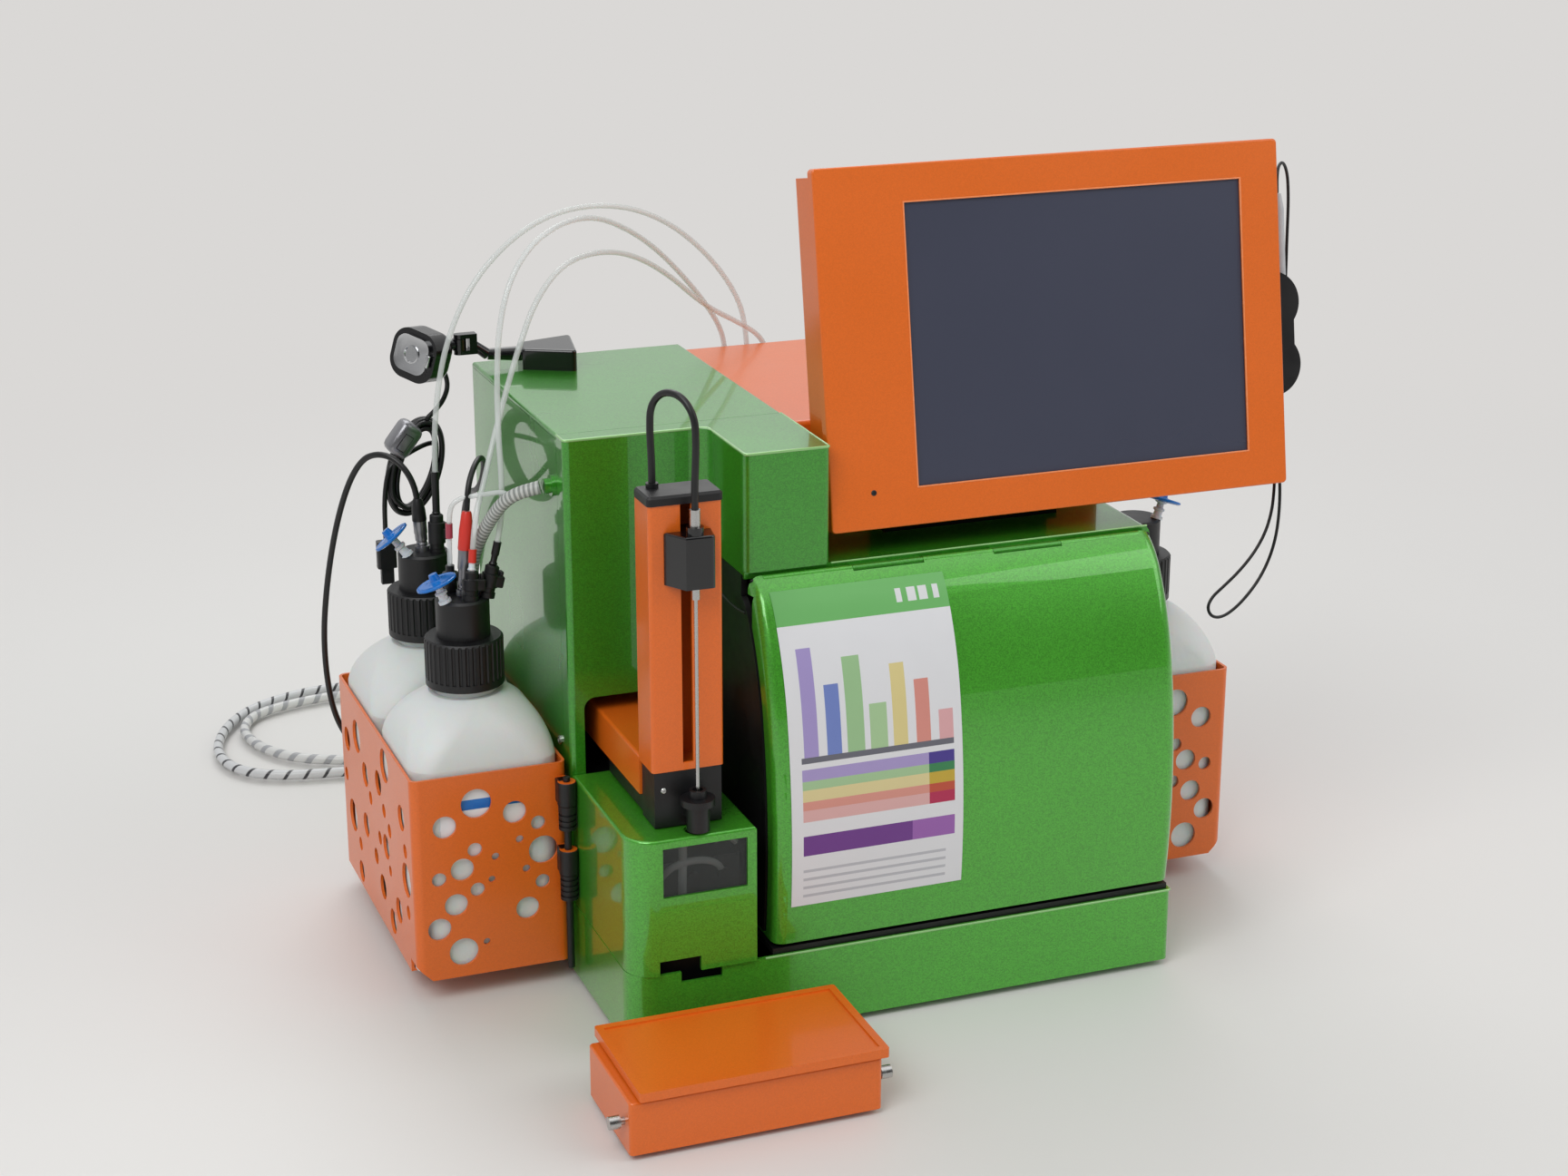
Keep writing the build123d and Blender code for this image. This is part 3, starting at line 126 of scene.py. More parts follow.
def surface_group() -> bpy.types.NodeTree:
    """Shared effect: mottled colour, uneven roughness and a fine relief.

    Returns:
        The group, with inputs Vector, Light, Dark, Scale, Smooth and Rough, and outputs Colour, Roughness
        and Height.
    """
    name = "Uneven surface"
    if name in bpy.data.node_groups:
        return bpy.data.node_groups[name]
    group = bpy.data.node_groups.new(name, "ShaderNodeTree")
    for socket, kind in (("Vector", "Vector"), ("Light", "Color"), ("Dark", "Color"), ("Scale", "Float"),
                         ("Smooth", "Float"), ("Rough", "Float")):
        group.interface.new_socket(socket, in_out="INPUT", socket_type=f"NodeSocket{kind}")
    for socket, kind in (("Colour", "Color"), ("Roughness", "Float"), ("Height", "Float")):
        group.interface.new_socket(socket, in_out="OUTPUT", socket_type=f"NodeSocket{kind}")
    given, out = group.nodes.new("NodeGroupInput"), group.nodes.new("NodeGroupOutput")
    broad = add_node(group, "TexNoise", {"Detail": 3.0})
    fine = add_node(group, "TexNoise", {"Detail": 4.0})
    finer = add_node(group, "Math", {1: FINE_SCALE}, operation="MULTIPLY")
    mix = add_node(group, "Mix", data_type="RGBA")
    ramp = add_node(group, "MapRange", {"From Min": 0.3, "From Max": 0.7})
    for texture in (broad, fine):
        join(group, (given, "Vector", texture, "Vector"))
    join(group, (given, "Scale", broad, "Scale"), (given, "Scale", finer, 0), (finer, 0, fine, "Scale"),
         (broad, "Fac", mix, "Factor"), (given, "Dark", mix, "A"), (given, "Light", mix, "B"),
         (broad, "Fac", ramp, "Value"), (given, "Smooth", ramp, "To Min"), (given, "Rough", ramp, "To Max"),
         (mix, "Result", out, "Colour"), (ramp, "Result", out, "Roughness"), (fine, "Fac", out, "Height"))
    return group


@dataclass(frozen=True)
class Finish:
    """One surface finish, made as a Principled material over the shared surface effect."""

    name: str
    colour: Colour
    dark: float = 0.85  # the darker tone, as a share of the colour
    scale: float = 40.0
    roughness: tuple[float, float] = (0.35, 0.45)
    relief: float = 0.02
    relief_depth: float = 0.0004
    metallic: float = 0.0
    coat: float = 0.0
    coat_roughness: float = 0.04
    transmission: float = 0.0
    ior: float = 1.5
    alpha: float = 1.0
    subsurface: float = 0.0
    subsurface_depth: float = 0.01
    slot: str = ""

    def material(self) -> bpy.types.Material:
        """Material of this finish, made once."""
        if self.name in bpy.data.materials:
            return bpy.data.materials[self.name]
        made = bpy.data.materials.new(self.name)
        made.use_nodes = True
        tree = made.node_tree
        shader = tree.nodes["Principled BSDF"]
        group = add_node(tree, "Group", {"Light": (*self.colour, 1),
                                         "Dark": (*(c * self.dark for c in self.colour), 1),
                                         "Scale": self.scale, "Smooth": self.roughness[0],
                                         "Rough": self.roughness[1]}, node_tree=surface_group())
        place = add_node(tree, "TexCoord")
        bump = add_node(tree, "Bump", {"Strength": self.relief, "Distance": self.relief_depth})
        join(tree, (place, "Object", group, "Vector"), (group, "Colour", shader, "Base Color"),
             (group, "Roughness", shader, "Roughness"), (group, "Height", bump, "Height"),
             (bump, "Normal", shader, "Normal"))
        settings = {"Metallic": self.metallic, "Coat Weight": self.coat,
                    "Coat Roughness": self.coat_roughness, "Transmission Weight": self.transmission,
                    "IOR": self.ior, "Alpha": self.alpha}
        if self.subsurface:
            settings |= {"Subsurface Weight": self.subsurface, "Subsurface Scale": self.subsurface_depth}
        for socket, value in settings.items():
            shader.inputs[socket].default_value = value
        self.detail(tree, shader)
        return made

    def detail(self, tree: bpy.types.NodeTree, shader: bpy.types.Node) -> None:
        """Nothing more on a plain finish."""

    @staticmethod
    def tint(tree: bpy.types.NodeTree, shader: bpy.types.Node, colour: bpy.types.NodeSocket) -> None:
        """Multiply the base colour by another colour.

        Args:
            tree: The material's nodes.
            shader: Its shader.
            colour: Output of the other colour.
        """
        mix = add_node(tree, "Mix", data_type="RGBA", blend_type="MULTIPLY")
        mix.inputs["Factor"].default_value = 1.0
        tree.links.new(shader.inputs["Base Color"].links[0].from_socket, mix.inputs["A"])
        tree.links.new(colour, mix.inputs["B"])
        join(tree, (mix, "Result", shader, "Base Color"))


@dataclass(frozen=True)
class Enamel(Finish):
    """Metallic enamel: fine flake in the base colour under a clear coat."""

    flake: float = 0.22
    flake_scale: float = 1500.0

    def detail(self, tree: bpy.types.NodeTree, shader: bpy.types.Node) -> None:
        """Brighten scattered flakes of the base colour.

        Args:
            tree: The material's nodes.
            shader: Its shader.
        """
        place = add_node(tree, "TexCoord")
        grains = add_node(tree, "TexVoronoi", {"Scale": self.flake_scale})
        share = add_node(tree, "MapRange", {"To Min": 1.0 - self.flake, "To Max": 1.0 + self.flake})
        parts = add_node(tree, "SeparateColor")
        join(tree, (place, "Object", grains, "Vector"), (grains, "Color", parts, 0),
             (parts, 0, share, "Value"))
        self.tint(tree, shader, share.outputs["Result"])


@dataclass(frozen=True)
class Wrapped(Finish):
    """A finish with turns of another tone that wind round a cord."""

    other: Colour = (0.02, 0.02, 0.02)
    turns: float = 60.0
    share: float = 0.14  # of each turn that shows the other tone
    softness: float = 1.35  # where the tone has faded out, against that share
    ridge: float = 0.0  # height of the turns' relief

    def detail(self, tree: bpy.types.NodeTree, shader: bpy.types.Node) -> None:
        """Wind the other tone round the cord by its own map.

        Args:
            tree: The material's nodes.
            shader: Its shader.
        """
        base = shader.inputs["Base Color"].links[0].from_socket
        place = add_node(tree, "UVMap", uv_map="UVMap")
        parts = add_node(tree, "SeparateXYZ")
        wind = add_node(tree, "Math", {1: self.turns}, operation="MULTIPLY_ADD")
        turn = add_node(tree, "Math", operation="FRACT")
        edge = add_node(tree, "MapRange", {"From Min": self.share, "From Max": self.share * self.softness},
                        interpolation_type="SMOOTHSTEP")
        mix = add_node(tree, "Mix", data_type="RGBA")
        mix.inputs["A"].default_value = (*self.other, 1)
        join(tree, (place, "UV", parts, 0), (parts, "X", wind, 0), (parts, "Y", wind, 2), (wind, 0, turn, 0),
             (turn, 0, edge, "Value"), (edge, "Result", mix, "Factor"))
        tree.links.new(base, mix.inputs["B"])
        join(tree, (mix, "Result", shader, "Base Color"))
        if self.ridge:
            bump = add_node(tree, "Bump", {"Strength": 1.0, "Distance": self.ridge})
            join(tree, (edge, "Result", bump, "Height"), (bump, "Normal", shader, "Normal"))


@dataclass(frozen=True)
class Printed(Finish):
    """Printed paper, whose inks are an attribute of the sheet."""

    def detail(self, tree: bpy.types.NodeTree, shader: bpy.types.Node) -> None:
        """Multiply the paper by its inks.

        Args:
            tree: The material's nodes.
            shader: Its shader.
        """
        inks = add_node(tree, "Attribute", attribute_name="ink")
        self.tint(tree, shader, inks.outputs["Color"])


GREEN = Enamel("green enamel", screen(58, 150, 34), dark=0.86, scale=9, roughness=(0.26, 0.34), metallic=0.45,
               coat=1.0, coat_roughness=0.03, relief=0.04, slot="green_paint")
LEAF = Enamel("leaf green enamel", screen(74, 168, 44), dark=0.88, scale=9, roughness=(0.26, 0.34),
              metallic=0.35, coat=1.0, coat_roughness=0.03, relief=0.04, slot="light_green_paint")
# Painted highlight: a light green, brighter than the enamel, for the bright lines of light along the rounded
# green edges.
RIM = Finish("painted highlight green edge", screen(150, 204, 128), dark=0.8, scale=120, roughness=(0.18, 0.26),
             metallic=0.2, coat=1.0, slot="light_green_paint")
ORANGE = Enamel("orange enamel", screen(224, 104, 22), dark=0.93, scale=9, roughness=(0.30, 0.38), coat=0.30,
                coat_roughness=0.10, relief=0.06, flake=0.05, slot="orange_paint")
# Painted highlight: a light orange for the bright lines of light on the edges of the screen's opening.
WARM_RIM = Finish("painted highlight orange edge", screen(240, 140, 84), dark=0.9, scale=120, roughness=(0.2, 0.3),
                  coat=0.5, slot="orange_paint")
BLACK = Finish("black moulded plastic", screen(18, 18, 20), scale=60, roughness=(0.38, 0.5), relief=0.15,
               slot="black_plastic")
SMOOTH_BLACK = Finish("smooth black plastic", screen(12, 12, 14), scale=30, roughness=(0.14, 0.22),
                      relief=0.03, coat=0.4, slot="black_gloss")
RUBBER = Finish("black rubber", screen(22, 22, 23), scale=80, roughness=(0.5, 0.62), relief=0.2,
                slot="black_rubber")
CABLE = Finish("cable jacket", screen(20, 20, 21), scale=50, roughness=(0.34, 0.44), slot="black_rubber")
STRAP = Finish("woven strap", screen(20, 20, 22), scale=300, roughness=(0.7, 0.8), relief=0.6,
               slot="black_rubber")
DARK_ALLOY = Finish("black anodised alloy", screen(36, 36, 38), scale=90, roughness=(0.35, 0.45),
                    metallic=0.8, relief=0.2, slot="black_aluminium")
ALLOY = Finish("clear anodised alloy", screen(190, 192, 196), scale=120, roughness=(0.26, 0.38), metallic=1.0,
               relief=0.2, slot="aluminium")
STEEL = Finish("turned steel", screen(196, 196, 194), scale=160, roughness=(0.2, 0.34), metallic=1.0,
               relief=0.15, slot="steel")
PEWTER = Finish("dull plug shell", screen(150, 150, 154), scale=160, roughness=(0.28, 0.38), metallic=0.9,
                relief=0.15, slot="steel")
GREY = Finish("grey moulded plastic", screen(196, 198, 200), scale=60, roughness=(0.4, 0.5), relief=0.1,
              slot="grey_plastic")
BOTTLE = Finish("cloudy bottle plastic", screen(222, 222, 220), dark=0.94, scale=14, roughness=(0.42, 0.55),
                subsurface=0.35, relief=0.2, relief_depth=0.001, slot="bottle_plastic")
BLUE = Finish("clear blue plastic", screen(24, 128, 222), dark=0.8, scale=60, roughness=(0.12, 0.2),
              transmission=0.25, slot="blue_plastic")
LUER = Finish("milky fitting plastic", screen(214, 218, 224), scale=50, roughness=(0.25, 0.35),
              subsurface=0.2, slot="bottle_plastic")
TUBE = Finish("clear tube", screen(222, 226, 224), dark=0.95, roughness=(0.08, 0.14), alpha=0.5, ior=1.4,
              coat=0.6, slot="clear_tube")
RIBBED = Wrapped("ribbed clear hose", screen(214, 216, 212), roughness=(0.2, 0.3), alpha=0.82, ior=1.4,
                 slot="hose", other=screen(150, 154, 150), turns=34, share=0.42, ridge=0.0006)
SPIRAL = Wrapped("spiral wrap", screen(206, 207, 208), dark=0.92, roughness=(0.25, 0.34), slot="hose",
                 other=screen(58, 58, 62), turns=66, share=0.15, ridge=0.0005)
PALE_HOSE = Wrapped("pale spiral wrap", screen(212, 212, 210), dark=0.94, roughness=(0.25, 0.34), slot="hose",
                    other=screen(160, 161, 164), turns=62, share=0.3, ridge=0.0004)
WINDOW = Finish("clear window", screen(40, 46, 44), roughness=(0.03, 0.06), alpha=0.35, coat=1.0, relief=0.0,
                slot="window")
# The panel's broad light and dark mottle stands in for the soft reflection haze on the glass: painted
# reflection.
GLASS = Finish("touch panel", screen(66, 69, 86), dark=0.8, scale=5, roughness=(0.26, 0.30), coat=0.5,
               coat_roughness=0.22, relief=0.0, slot="screen")
RED = Finish("red sleeve", screen(214, 52, 40), roughness=(0.3, 0.4), scale=90, slot="orange_paint")
PLUM = Finish("plum sleeve", screen(168, 62, 78), roughness=(0.3, 0.4), scale=90, slot="orange_paint")
PAPER = Printed("coated paper", screen(214, 214, 216), dark=0.98, scale=60, roughness=(0.42, 0.5),
                relief=0.02, coat=0.2, coat_roughness=0.2)
SILVER = Finish("plated trim", screen(205, 206, 208), scale=100, roughness=(0.12, 0.2), metallic=1.0,
                slot="steel")
LABEL = Finish("label paper", screen(228, 228, 230), dark=0.97, scale=60, roughness=(0.4, 0.5), relief=0.02,
               slot="bottle_plastic")


def dress(finish: Finish, *names: str) -> None:
    """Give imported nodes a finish.

    Args:
        finish: The finish that replaces every material of the nodes.
        names: The nodes.
    """
    for name in names:
        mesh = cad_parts[name].data
        if not mesh.materials:
            mesh.materials.append(None)
        for index in range(len(mesh.materials)):
            mesh.materials[index] = finish.material()


# Meshes


def standing(foot: Sequence[float], way: Sequence[float]) -> Matrix:
    """Place whose Z axis starts at a foot and runs along a direction."""
    turn = Vector((0, 0, 1)).rotation_difference(Vector(way).normalized())
    return Matrix.Translation(foot) @ turn.to_matrix().to_4x4()


class Solid:
    """A mesh under construction, in millimetres on the instrument's axes, in one or more finishes."""

    def __init__(self, finish: Finish) -> None:
        """Start an empty mesh.

        Args:
            finish: Finish of the first shapes.
        """
        self.mesh = bmesh.new()
        self.finishes = [finish]
        self.index = 0

    def paint(self, finish: Finish) -> "Solid":
        """Use another finish for the shapes that follow.

        Args:
            finish: The finish.

        Returns:
            This solid.
        """
        if finish not in self.finishes:
            self.finishes.append(finish)
        self.index = self.finishes.index(finish)
        return self

    def claim(self) -> None:
        """Give the faces made since the last call the present finish."""
        for face in self.mesh.faces:
            if not face.tag:
                face.material_index = self.index
                face.tag = True

    def box(self, x: Sequence[float], y: Sequence[float], z: Sequence[float], bevel: float = 0.0,
            place: Optional[Matrix] = None) -> "Solid":
        """Add a box between pairs of coordinates, with rounded edges.

        Args:
            x: Left and right.
            y: Front and back.
            z: Bottom and top.
            bevel: Width of the rounded edges.
            place: A move or turn of the finished box.

        Returns:
            This solid.
        """
        low, high = Vector((x[0], y[0], z[0])), Vector((x[1], y[1], z[1]))
        form = Matrix.Translation((low + high) / 2) @ Matrix.Diagonal((*(high - low), 1))
        made = bmesh.ops.create_cube(self.mesh, size=1.0, matrix=(place or Matrix()) @ form)
        if bevel:
            edges = list({e for v in made["verts"] for e in v.link_edges})
            bmesh.ops.bevel(self.mesh, geom=edges, offset=bevel, affect="EDGES", segments=3, profile=0.5,
                            material=-1)
        self.claim()
        return self

    def lathe(self, profile: Sequence[tuple[float, float]], foot: Sequence[float], way: Sequence[float],
              steps: int = 36) -> "Solid":
        """Turn a profile about an axis.

        Args:
            profile: Radius and distance along the axis of each point, from the foot outwards.
            foot: Start of the axis.
            way: Direction of the axis.
            steps: Sides of the turned shape.

        Returns:
            This solid.
        """
        axis = Vector(way).normalized()
        place = standing(foot, way)
        verts = [self.mesh.verts.new(place @ Vector((radius, 0, along))) for radius, along in profile]
        edges = [self.mesh.edges.new(pair) for pair in zip(verts, verts[1:])]
        bmesh.ops.spin(self.mesh, geom=verts + edges, cent=Vector(foot), axis=axis, angle=math.tau,
                       steps=steps, use_merge=True, use_normal_flip=False, use_duplicate=False)
        bmesh.ops.remove_doubles(self.mesh, verts=list(self.mesh.verts), dist=1e-4)
        self.claim()
        return self

    def pipe(self, route: Sequence[Point], diameter: float) -> "Solid":
        """Add a smooth rigid pipe through a route.

        Args:
            route: Control points of the pipe's middle line.
            diameter: The pipe's diameter.

        Returns:
            This solid.
        """
        data = smooth_tube("pipe", [Vector(p) for p in route], diameter / 2)
        self.mesh.from_mesh(data)
        bpy.data.meshes.remove(data)
        for face in self.mesh.faces:
            if not face.tag:
                face.smooth = True
        self.claim()
        return self

    def finish(self, name: str, body: Body, smooth: float = 35.0,
               replaces: Sequence[str] = ()) -> bpy.types.Object:
        """Turn the mesh into a piece in the shared frame.

        Args:
            name: The piece's name.
            body: The body that it rides on.
            smooth: Edges flatter than this, in degrees, are shaded smooth.
            replaces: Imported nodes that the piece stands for.

        Returns:
            The piece.
        """
        bmesh.ops.recalc_face_normals(self.mesh, faces=list(self.mesh.faces))
        bmesh.ops.transform(self.mesh, matrix=TO_FRAME, verts=list(self.mesh.verts))
        for edge in self.mesh.edges:
            sharp = len(edge.link_faces) != 2 or edge.calc_face_angle(math.pi) > math.radians(smooth)
            edge.smooth = not sharp
        for face in self.mesh.faces:
            face.smooth = True
        data = bpy.data.meshes.new(name)
        self.mesh.to_mesh(data)
        self.mesh.free()
        for finish in self.finishes:
            data.materials.append(finish.material())
        return self.place(name, data, body, self.finishes[0].slot, replaces)

    @staticmethod
    def place(name: str, data: bpy.types.Mesh, body: Body, slot: str,
              replaces: Sequence[str] = ()) -> bpy.types.Object:
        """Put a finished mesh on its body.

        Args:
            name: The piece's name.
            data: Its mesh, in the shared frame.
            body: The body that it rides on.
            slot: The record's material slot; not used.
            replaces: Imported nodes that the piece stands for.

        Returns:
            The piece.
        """
        piece = bpy.data.objects.new(name, data)
        bpy.context.scene.collection.objects.link(piece)
        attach(piece, body.value)
        if replaces:
            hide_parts(*replaces)
        log.info("%s on %s", name, body.value)
        return piece


def smooth_tube(name: str, points: Sequence[Vector], radius: float) -> bpy.types.Mesh:
    """Mesh of a smooth line through control points, as a tube or bare.

    Args:
        name: The mesh's name.
        points: Control points.
        radius: The tube's radius, or 0 for the bare line.

    Returns:
        The mesh.
    """
    data = bpy.data.curves.new(name, "CURVE")
    data.dimensions = "3D"
    spline = data.splines.new("NURBS")
    spline.points.add(len(points) - 1)
    for knot, point in zip(spline.points, points):
        knot.co = (*point, 1.0)
    spline.order_u = 3
    spline.use_endpoint_u = True
    spline.resolution_u = 10
    data.bevel_depth = radius
    data.bevel_resolution = 5
    data.use_fill_caps = True
    line = bpy.data.objects.new(name, data)
    bpy.context.scene.collection.objects.link(line)
    bpy.context.view_layer.update()
    mesh = bpy.data.meshes.new_from_object(line.evaluated_get(bpy.context.evaluated_depsgraph_get()))
    bpy.data.objects.remove(line)
    bpy.data.curves.remove(data)
    return mesh


# Camera, lights and floor


@dataclass
class Studio:
    """Plain floor, soft light and the camera."""

    camera_at: Point = (-0.6812, -1.63445, 0.8526)
    pitch: float = 18.51
    yaw: float = 20.93
    lens: float = 63.01
    wall: Colour = field(default_factory=lambda: screen(218, 216, 214))
    floor: Colour = field(default_factory=lambda: screen(220, 218, 215))

    def camera(self) -> None:
        """Place the camera."""
        data = bpy.data.cameras.new("camera")
        data.lens = self.lens
        data.sensor_width = 36.0
        data.clip_end = 50.0
        camera = bpy.data.objects.new("camera", data)
        camera.location = self.camera_at
        camera.rotation_euler = (math.radians(90 - self.pitch), 0.0, math.radians(-self.yaw))
        bpy.context.scene.collection.objects.link(camera)
        bpy.context.scene.camera = camera

    def lamp(self, name: str, place: Point, aim: Point, size: float, power: float) -> None:
        """Add a square soft lamp.

        Args:
            name: The lamp's name.
            place: Where it is, in metres.
            aim: What it points at, in metres.
            size: Its side.
            power: Its power in watts.
        """
        data = bpy.data.lights.new(name, "AREA")
        data.shape = "SQUARE"
        data.size = size
        data.energy = power
        lamp = bpy.data.objects.new(name, data)
        lamp.location = place
        lamp.rotation_euler = (Vector(aim) - Vector(place)).to_track_quat("-Z", "Y").to_euler()
        bpy.context.scene.collection.objects.link(lamp)

    def world(self) -> None:
        """Pale background, with the light of a room that is darker behind the camera."""
        world = bpy.data.worlds.new("room")
        world.use_nodes = True
        bpy.context.scene.world = world
        tree = world.node_tree
        light = tree.nodes["Background"]
        light.inputs["Color"].default_value = (0.96, 0.98, 1.0, 1)
        light.inputs["Strength"].default_value = 0.55
        pale = add_node(tree, "Background", {"Color": (*self.wall, 1)})
        place = add_node(tree, "TexCoord")
        parts = add_node(tree, "SeparateXYZ")
        depth = add_node(tree, "MapRange", {"From Min": -0.9, "From Max": 0.5, "To Min": 0.07,
                                            "To Max": 0.82})
        height = add_node(tree, "MapRange", {"From Min": 0.72, "From Max": 0.95, "To Max": 1.1},
                          interpolation_type="SMOOTHSTEP")
        both = add_node(tree, "Math", operation="ADD")
        sheen = add_node(tree, "Background")
        path = add_node(tree, "LightPath")
        seen = add_node(tree, "Math", operation="MAXIMUM")
        glossy, mix = add_node(tree, "MixShader"), add_node(tree, "MixShader")
        join(tree, (place, "Generated", parts, 0), (parts, "Y", depth, "Value"),
             (parts, "Z", height, "Value"), (depth, "Result", both, 0), (height, "Result", both, 1),
             (both, 0, sheen, "Strength"), (path, "Is Glossy Ray", glossy, "Fac"), (light, 0, glossy, 1),
             (sheen, 0, glossy, 2), (path, "Is Camera Ray", seen, 0), (path, "Is Transmission Ray", seen, 1),
             (seen, 0, mix, "Fac"), (glossy, 0, mix, 1), (pale, 0, mix, 2),
             (mix, 0, tree.nodes["World Output"], "Surface"))

    def table(self) -> None:
        """Lay the pale floor, whose far part is as pale as the wall."""
        mesh = bmesh.new()
        bmesh.ops.create_grid(mesh, x_segments=1, y_segments=1, size=12.0)
        data = bpy.data.meshes.new("floor")
        mesh.to_mesh(data)
        mesh.free()
        floor = bpy.data.objects.new("floor", data)
        bench = Finish("pale bench", self.floor, dark=0.985, scale=3, roughness=(0.45, 0.55)).material()
        tree = bench.node_tree
        place = add_node(tree, "TexCoord")
        reach = add_node(tree, "VectorMath", operation="LENGTH")
        far = add_node(tree, "MapRange", {"From Min": 0.75, "From Max": 1.9}, interpolation_type="SMOOTHSTEP")
        path = add_node(tree, "LightPath")
        seen = add_node(tree, "Math", operation="MULTIPLY")
        glow = add_node(tree, "Emission", {"Color": (*self.wall, 1)})
        mix = add_node(tree, "MixShader")
        join(tree, (place, "Object", reach, 0), (reach, "Value", far, "Value"), (far, "Result", seen, 0),
             (path, "Is Camera Ray", seen, 1), (seen, 0, mix, "Fac"),
             (tree.nodes["Principled BSDF"], 0, mix, 1), (glow, 0, mix, 2),
             (mix, 0, tree.nodes["Material Output"], "Surface"))
        data.materials.append(bench)
        bpy.context.scene.collection.objects.link(floor)

    def build(self) -> None:
        """Set the colour view and build everything."""
        bpy.context.scene.view_settings.view_transform = "Standard"
        self.camera()
        self.world()
        self.table()
        self.lamp("key", (-1.6, -1.4, 2.4), (0, 0, 0.2), 1.6, 38)
        self.lamp("fill", (1.9, -1.2, 1.8), (0, 0, 0.2), 1.8, 18)
        self.lamp("back", (0.3, 1.9, 2.2), (0, 0, 0.2), 1.6, 20)


# Cords


@dataclass
class Cord:
    """A cord, hose or cable on one smooth route."""

    name: str
    route: Sequence[Point]
    diameter: float
    length: float
    finish: Finish
    far_end: str
    stiffness: str = "medium"
    body: Body = Body.ROOT
    carrier: Optional[Body] = None  # the moving body at the route's start
    nodes: tuple[str, ...] = ()
    lay: str = "loose"

    def tube(self, path: Sequence[Vector]) -> bpy.types.Mesh:
        """Tube round the smooth line, whose map runs evenly along it.

        Args:
            path: Points along the smooth line.

        Returns:
            The mesh.
        """
        data = smooth_tube(self.name, [in_frame(p) for p in self.route], self.diameter / 2000)
        along = [0.0]
        for before, after in zip(path, path[1:]):
            along.append(along[-1] + (after - before).length)
        last = len(path) - 1
        for corner in data.uv_layers[0].data:
            corner.uv.x = along[round(corner.uv.x * last)] / along[-1]
        return data

    def build(self, with_pieces: Sequence = ()) -> bpy.types.Object:
        """Args:
            with_pieces: Separate pieces on the cord; not used.

        Returns:
            The cord's piece.
        """
        bare = smooth_tube(self.name, [in_frame(p) for p in self.route], 0.0)
        path = [v.co.copy() for v in bare.vertices]
        bpy.data.meshes.remove(bare)
        real = sum((b - a).length for a, b in zip(path, path[1:]))
        log.info("%s is %.3f m long", self.name, real)
        data = self.tube(path)
        data.name = self.name
        piece = bpy.data.objects.new(self.name, data)
        bpy.context.scene.collection.objects.link(piece)
        data.materials.clear()
        data.materials.append(self.finish.material())
        for polygon in data.polygons:
            polygon.use_smooth = True
        if self.carrier is None:
            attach(piece, self.body.value)
        else:
            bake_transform(piece)
        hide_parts(*self.nodes)
        return piece


# Control points of the cords, the lanyard's in the monitor's own axes
ARM_CABLE = [
    (31, 36, 376), (31, 36, 391), (30.2, 36.5, 409), (30.8, 36.3, 425.5), (35.8, 27, 436), (43, 13.6, 436),
    (48.2, 3.8, 425), (48.7, 3, 409), (48.4, 3.6, 394), (48, 4.5, 380), (48, 4.5, 366)]
TUBE_A = [
    (-47, 281, 318), (-46.5, 282, 340), (-44, 285, 366), (-38, 289, 396), (-28, 293, 424), (-11, 297, 453),
    (15, 303, 477), (46, 312, 492), (80, 321, 496), (113, 329, 491), (142, 336, 478), (168, 343, 458),
    (190, 349, 434), (206, 354, 408), (211, 357, 384), (212, 357, 363), (212, 357, 344)]
TUBE_B = [
    (-33.5, 175, 297), (-28, 176, 318), (-26, 181, 345), (-25, 190, 376), (-23, 196, 410), (-20, 199, 441),
    (-11, 205, 470), (6, 215, 491), (32, 232, 502), (64, 257, 501), (95, 280, 486), (123, 301, 466),
    (150, 321, 440), (174, 338, 413), (190, 351, 390), (195, 357, 367), (195, 357, 344)]
TUBE_C = [
    (-50, 173, 294), (-47, 177, 318), (-36, 189, 342), (-26, 200, 366), (-14, 211, 393), (-2, 220, 420),
    (13, 226, 453), (38, 243, 473), (70, 264, 475), (101, 286, 466), (132, 305, 447), (166, 321, 417),
    (199, 339, 398), (220, 351, 384), (229, 357, 366), (229, 357, 344)]
FRONT_SENSOR_CABLE = [
    (-49, 187, 324), (-48, 188, 334), (-45, 192, 343.5), (-40, 199, 350), (-34, 209, 352.5),
    (-28, 221, 349), (-23.5, 236, 338), (-20.5, 256, 322), (-18.5, 280, 309), (-15, 307, 301),
    (-12, 332, 290), (-10, 352, 272), (-8, 365, 249), (-5, 372, 222), (0, 374, 195), (7, 374, 174),
    (14, 371.5, 158), (18.5, 365.5, 147.5), (20, 358, 142), (20, 350, 140)]
REAR_SENSOR_CABLE = [
    (-58, 288, 294), (-58.5, 289, 306), (-61, 291.5, 317.5), (-66, 296, 327), (-73, 302.5, 333),
    (-81, 311, 333.5), (-88.5, 321, 328), (-95.5, 332, 312), (-101.5, 343, 288), (-106.5, 355, 257),
    (-111, 363, 222), (-114, 368, 186), (-113, 371, 150), (-108, 373, 118), (-96, 374, 94), (-77, 375, 79),
    (-54, 376, 72), (-28, 376.5, 72), (-5, 375.5, 77), (11, 371.5, 84), (21, 363, 90), (24, 350, 92)]
READER_CABLE = [
    (-34, 340.8, 386), (-26.5, 348, 384.5), (-19.5, 353.5, 377), (-17, 355, 366), (-21, 354.5, 356),
    (-28, 353, 349), (-36, 352, 343)]
PLUG_CABLE = [
    (-61, 353, 314), (-65, 353, 304), (-67.5, 353, 288), (-68, 353, 272), (-68, 353, 256)]
WASTE_HOSE = [
    (-46, 195, 268.6), (-45.2, 194, 281), (-43.3, 189, 296), (-39.5, 180, 311), (-35, 169.5, 325),
    (-30, 160, 336), (-21.5, 152.5, 343.5), (-9.2, 148.5, 346.4)]
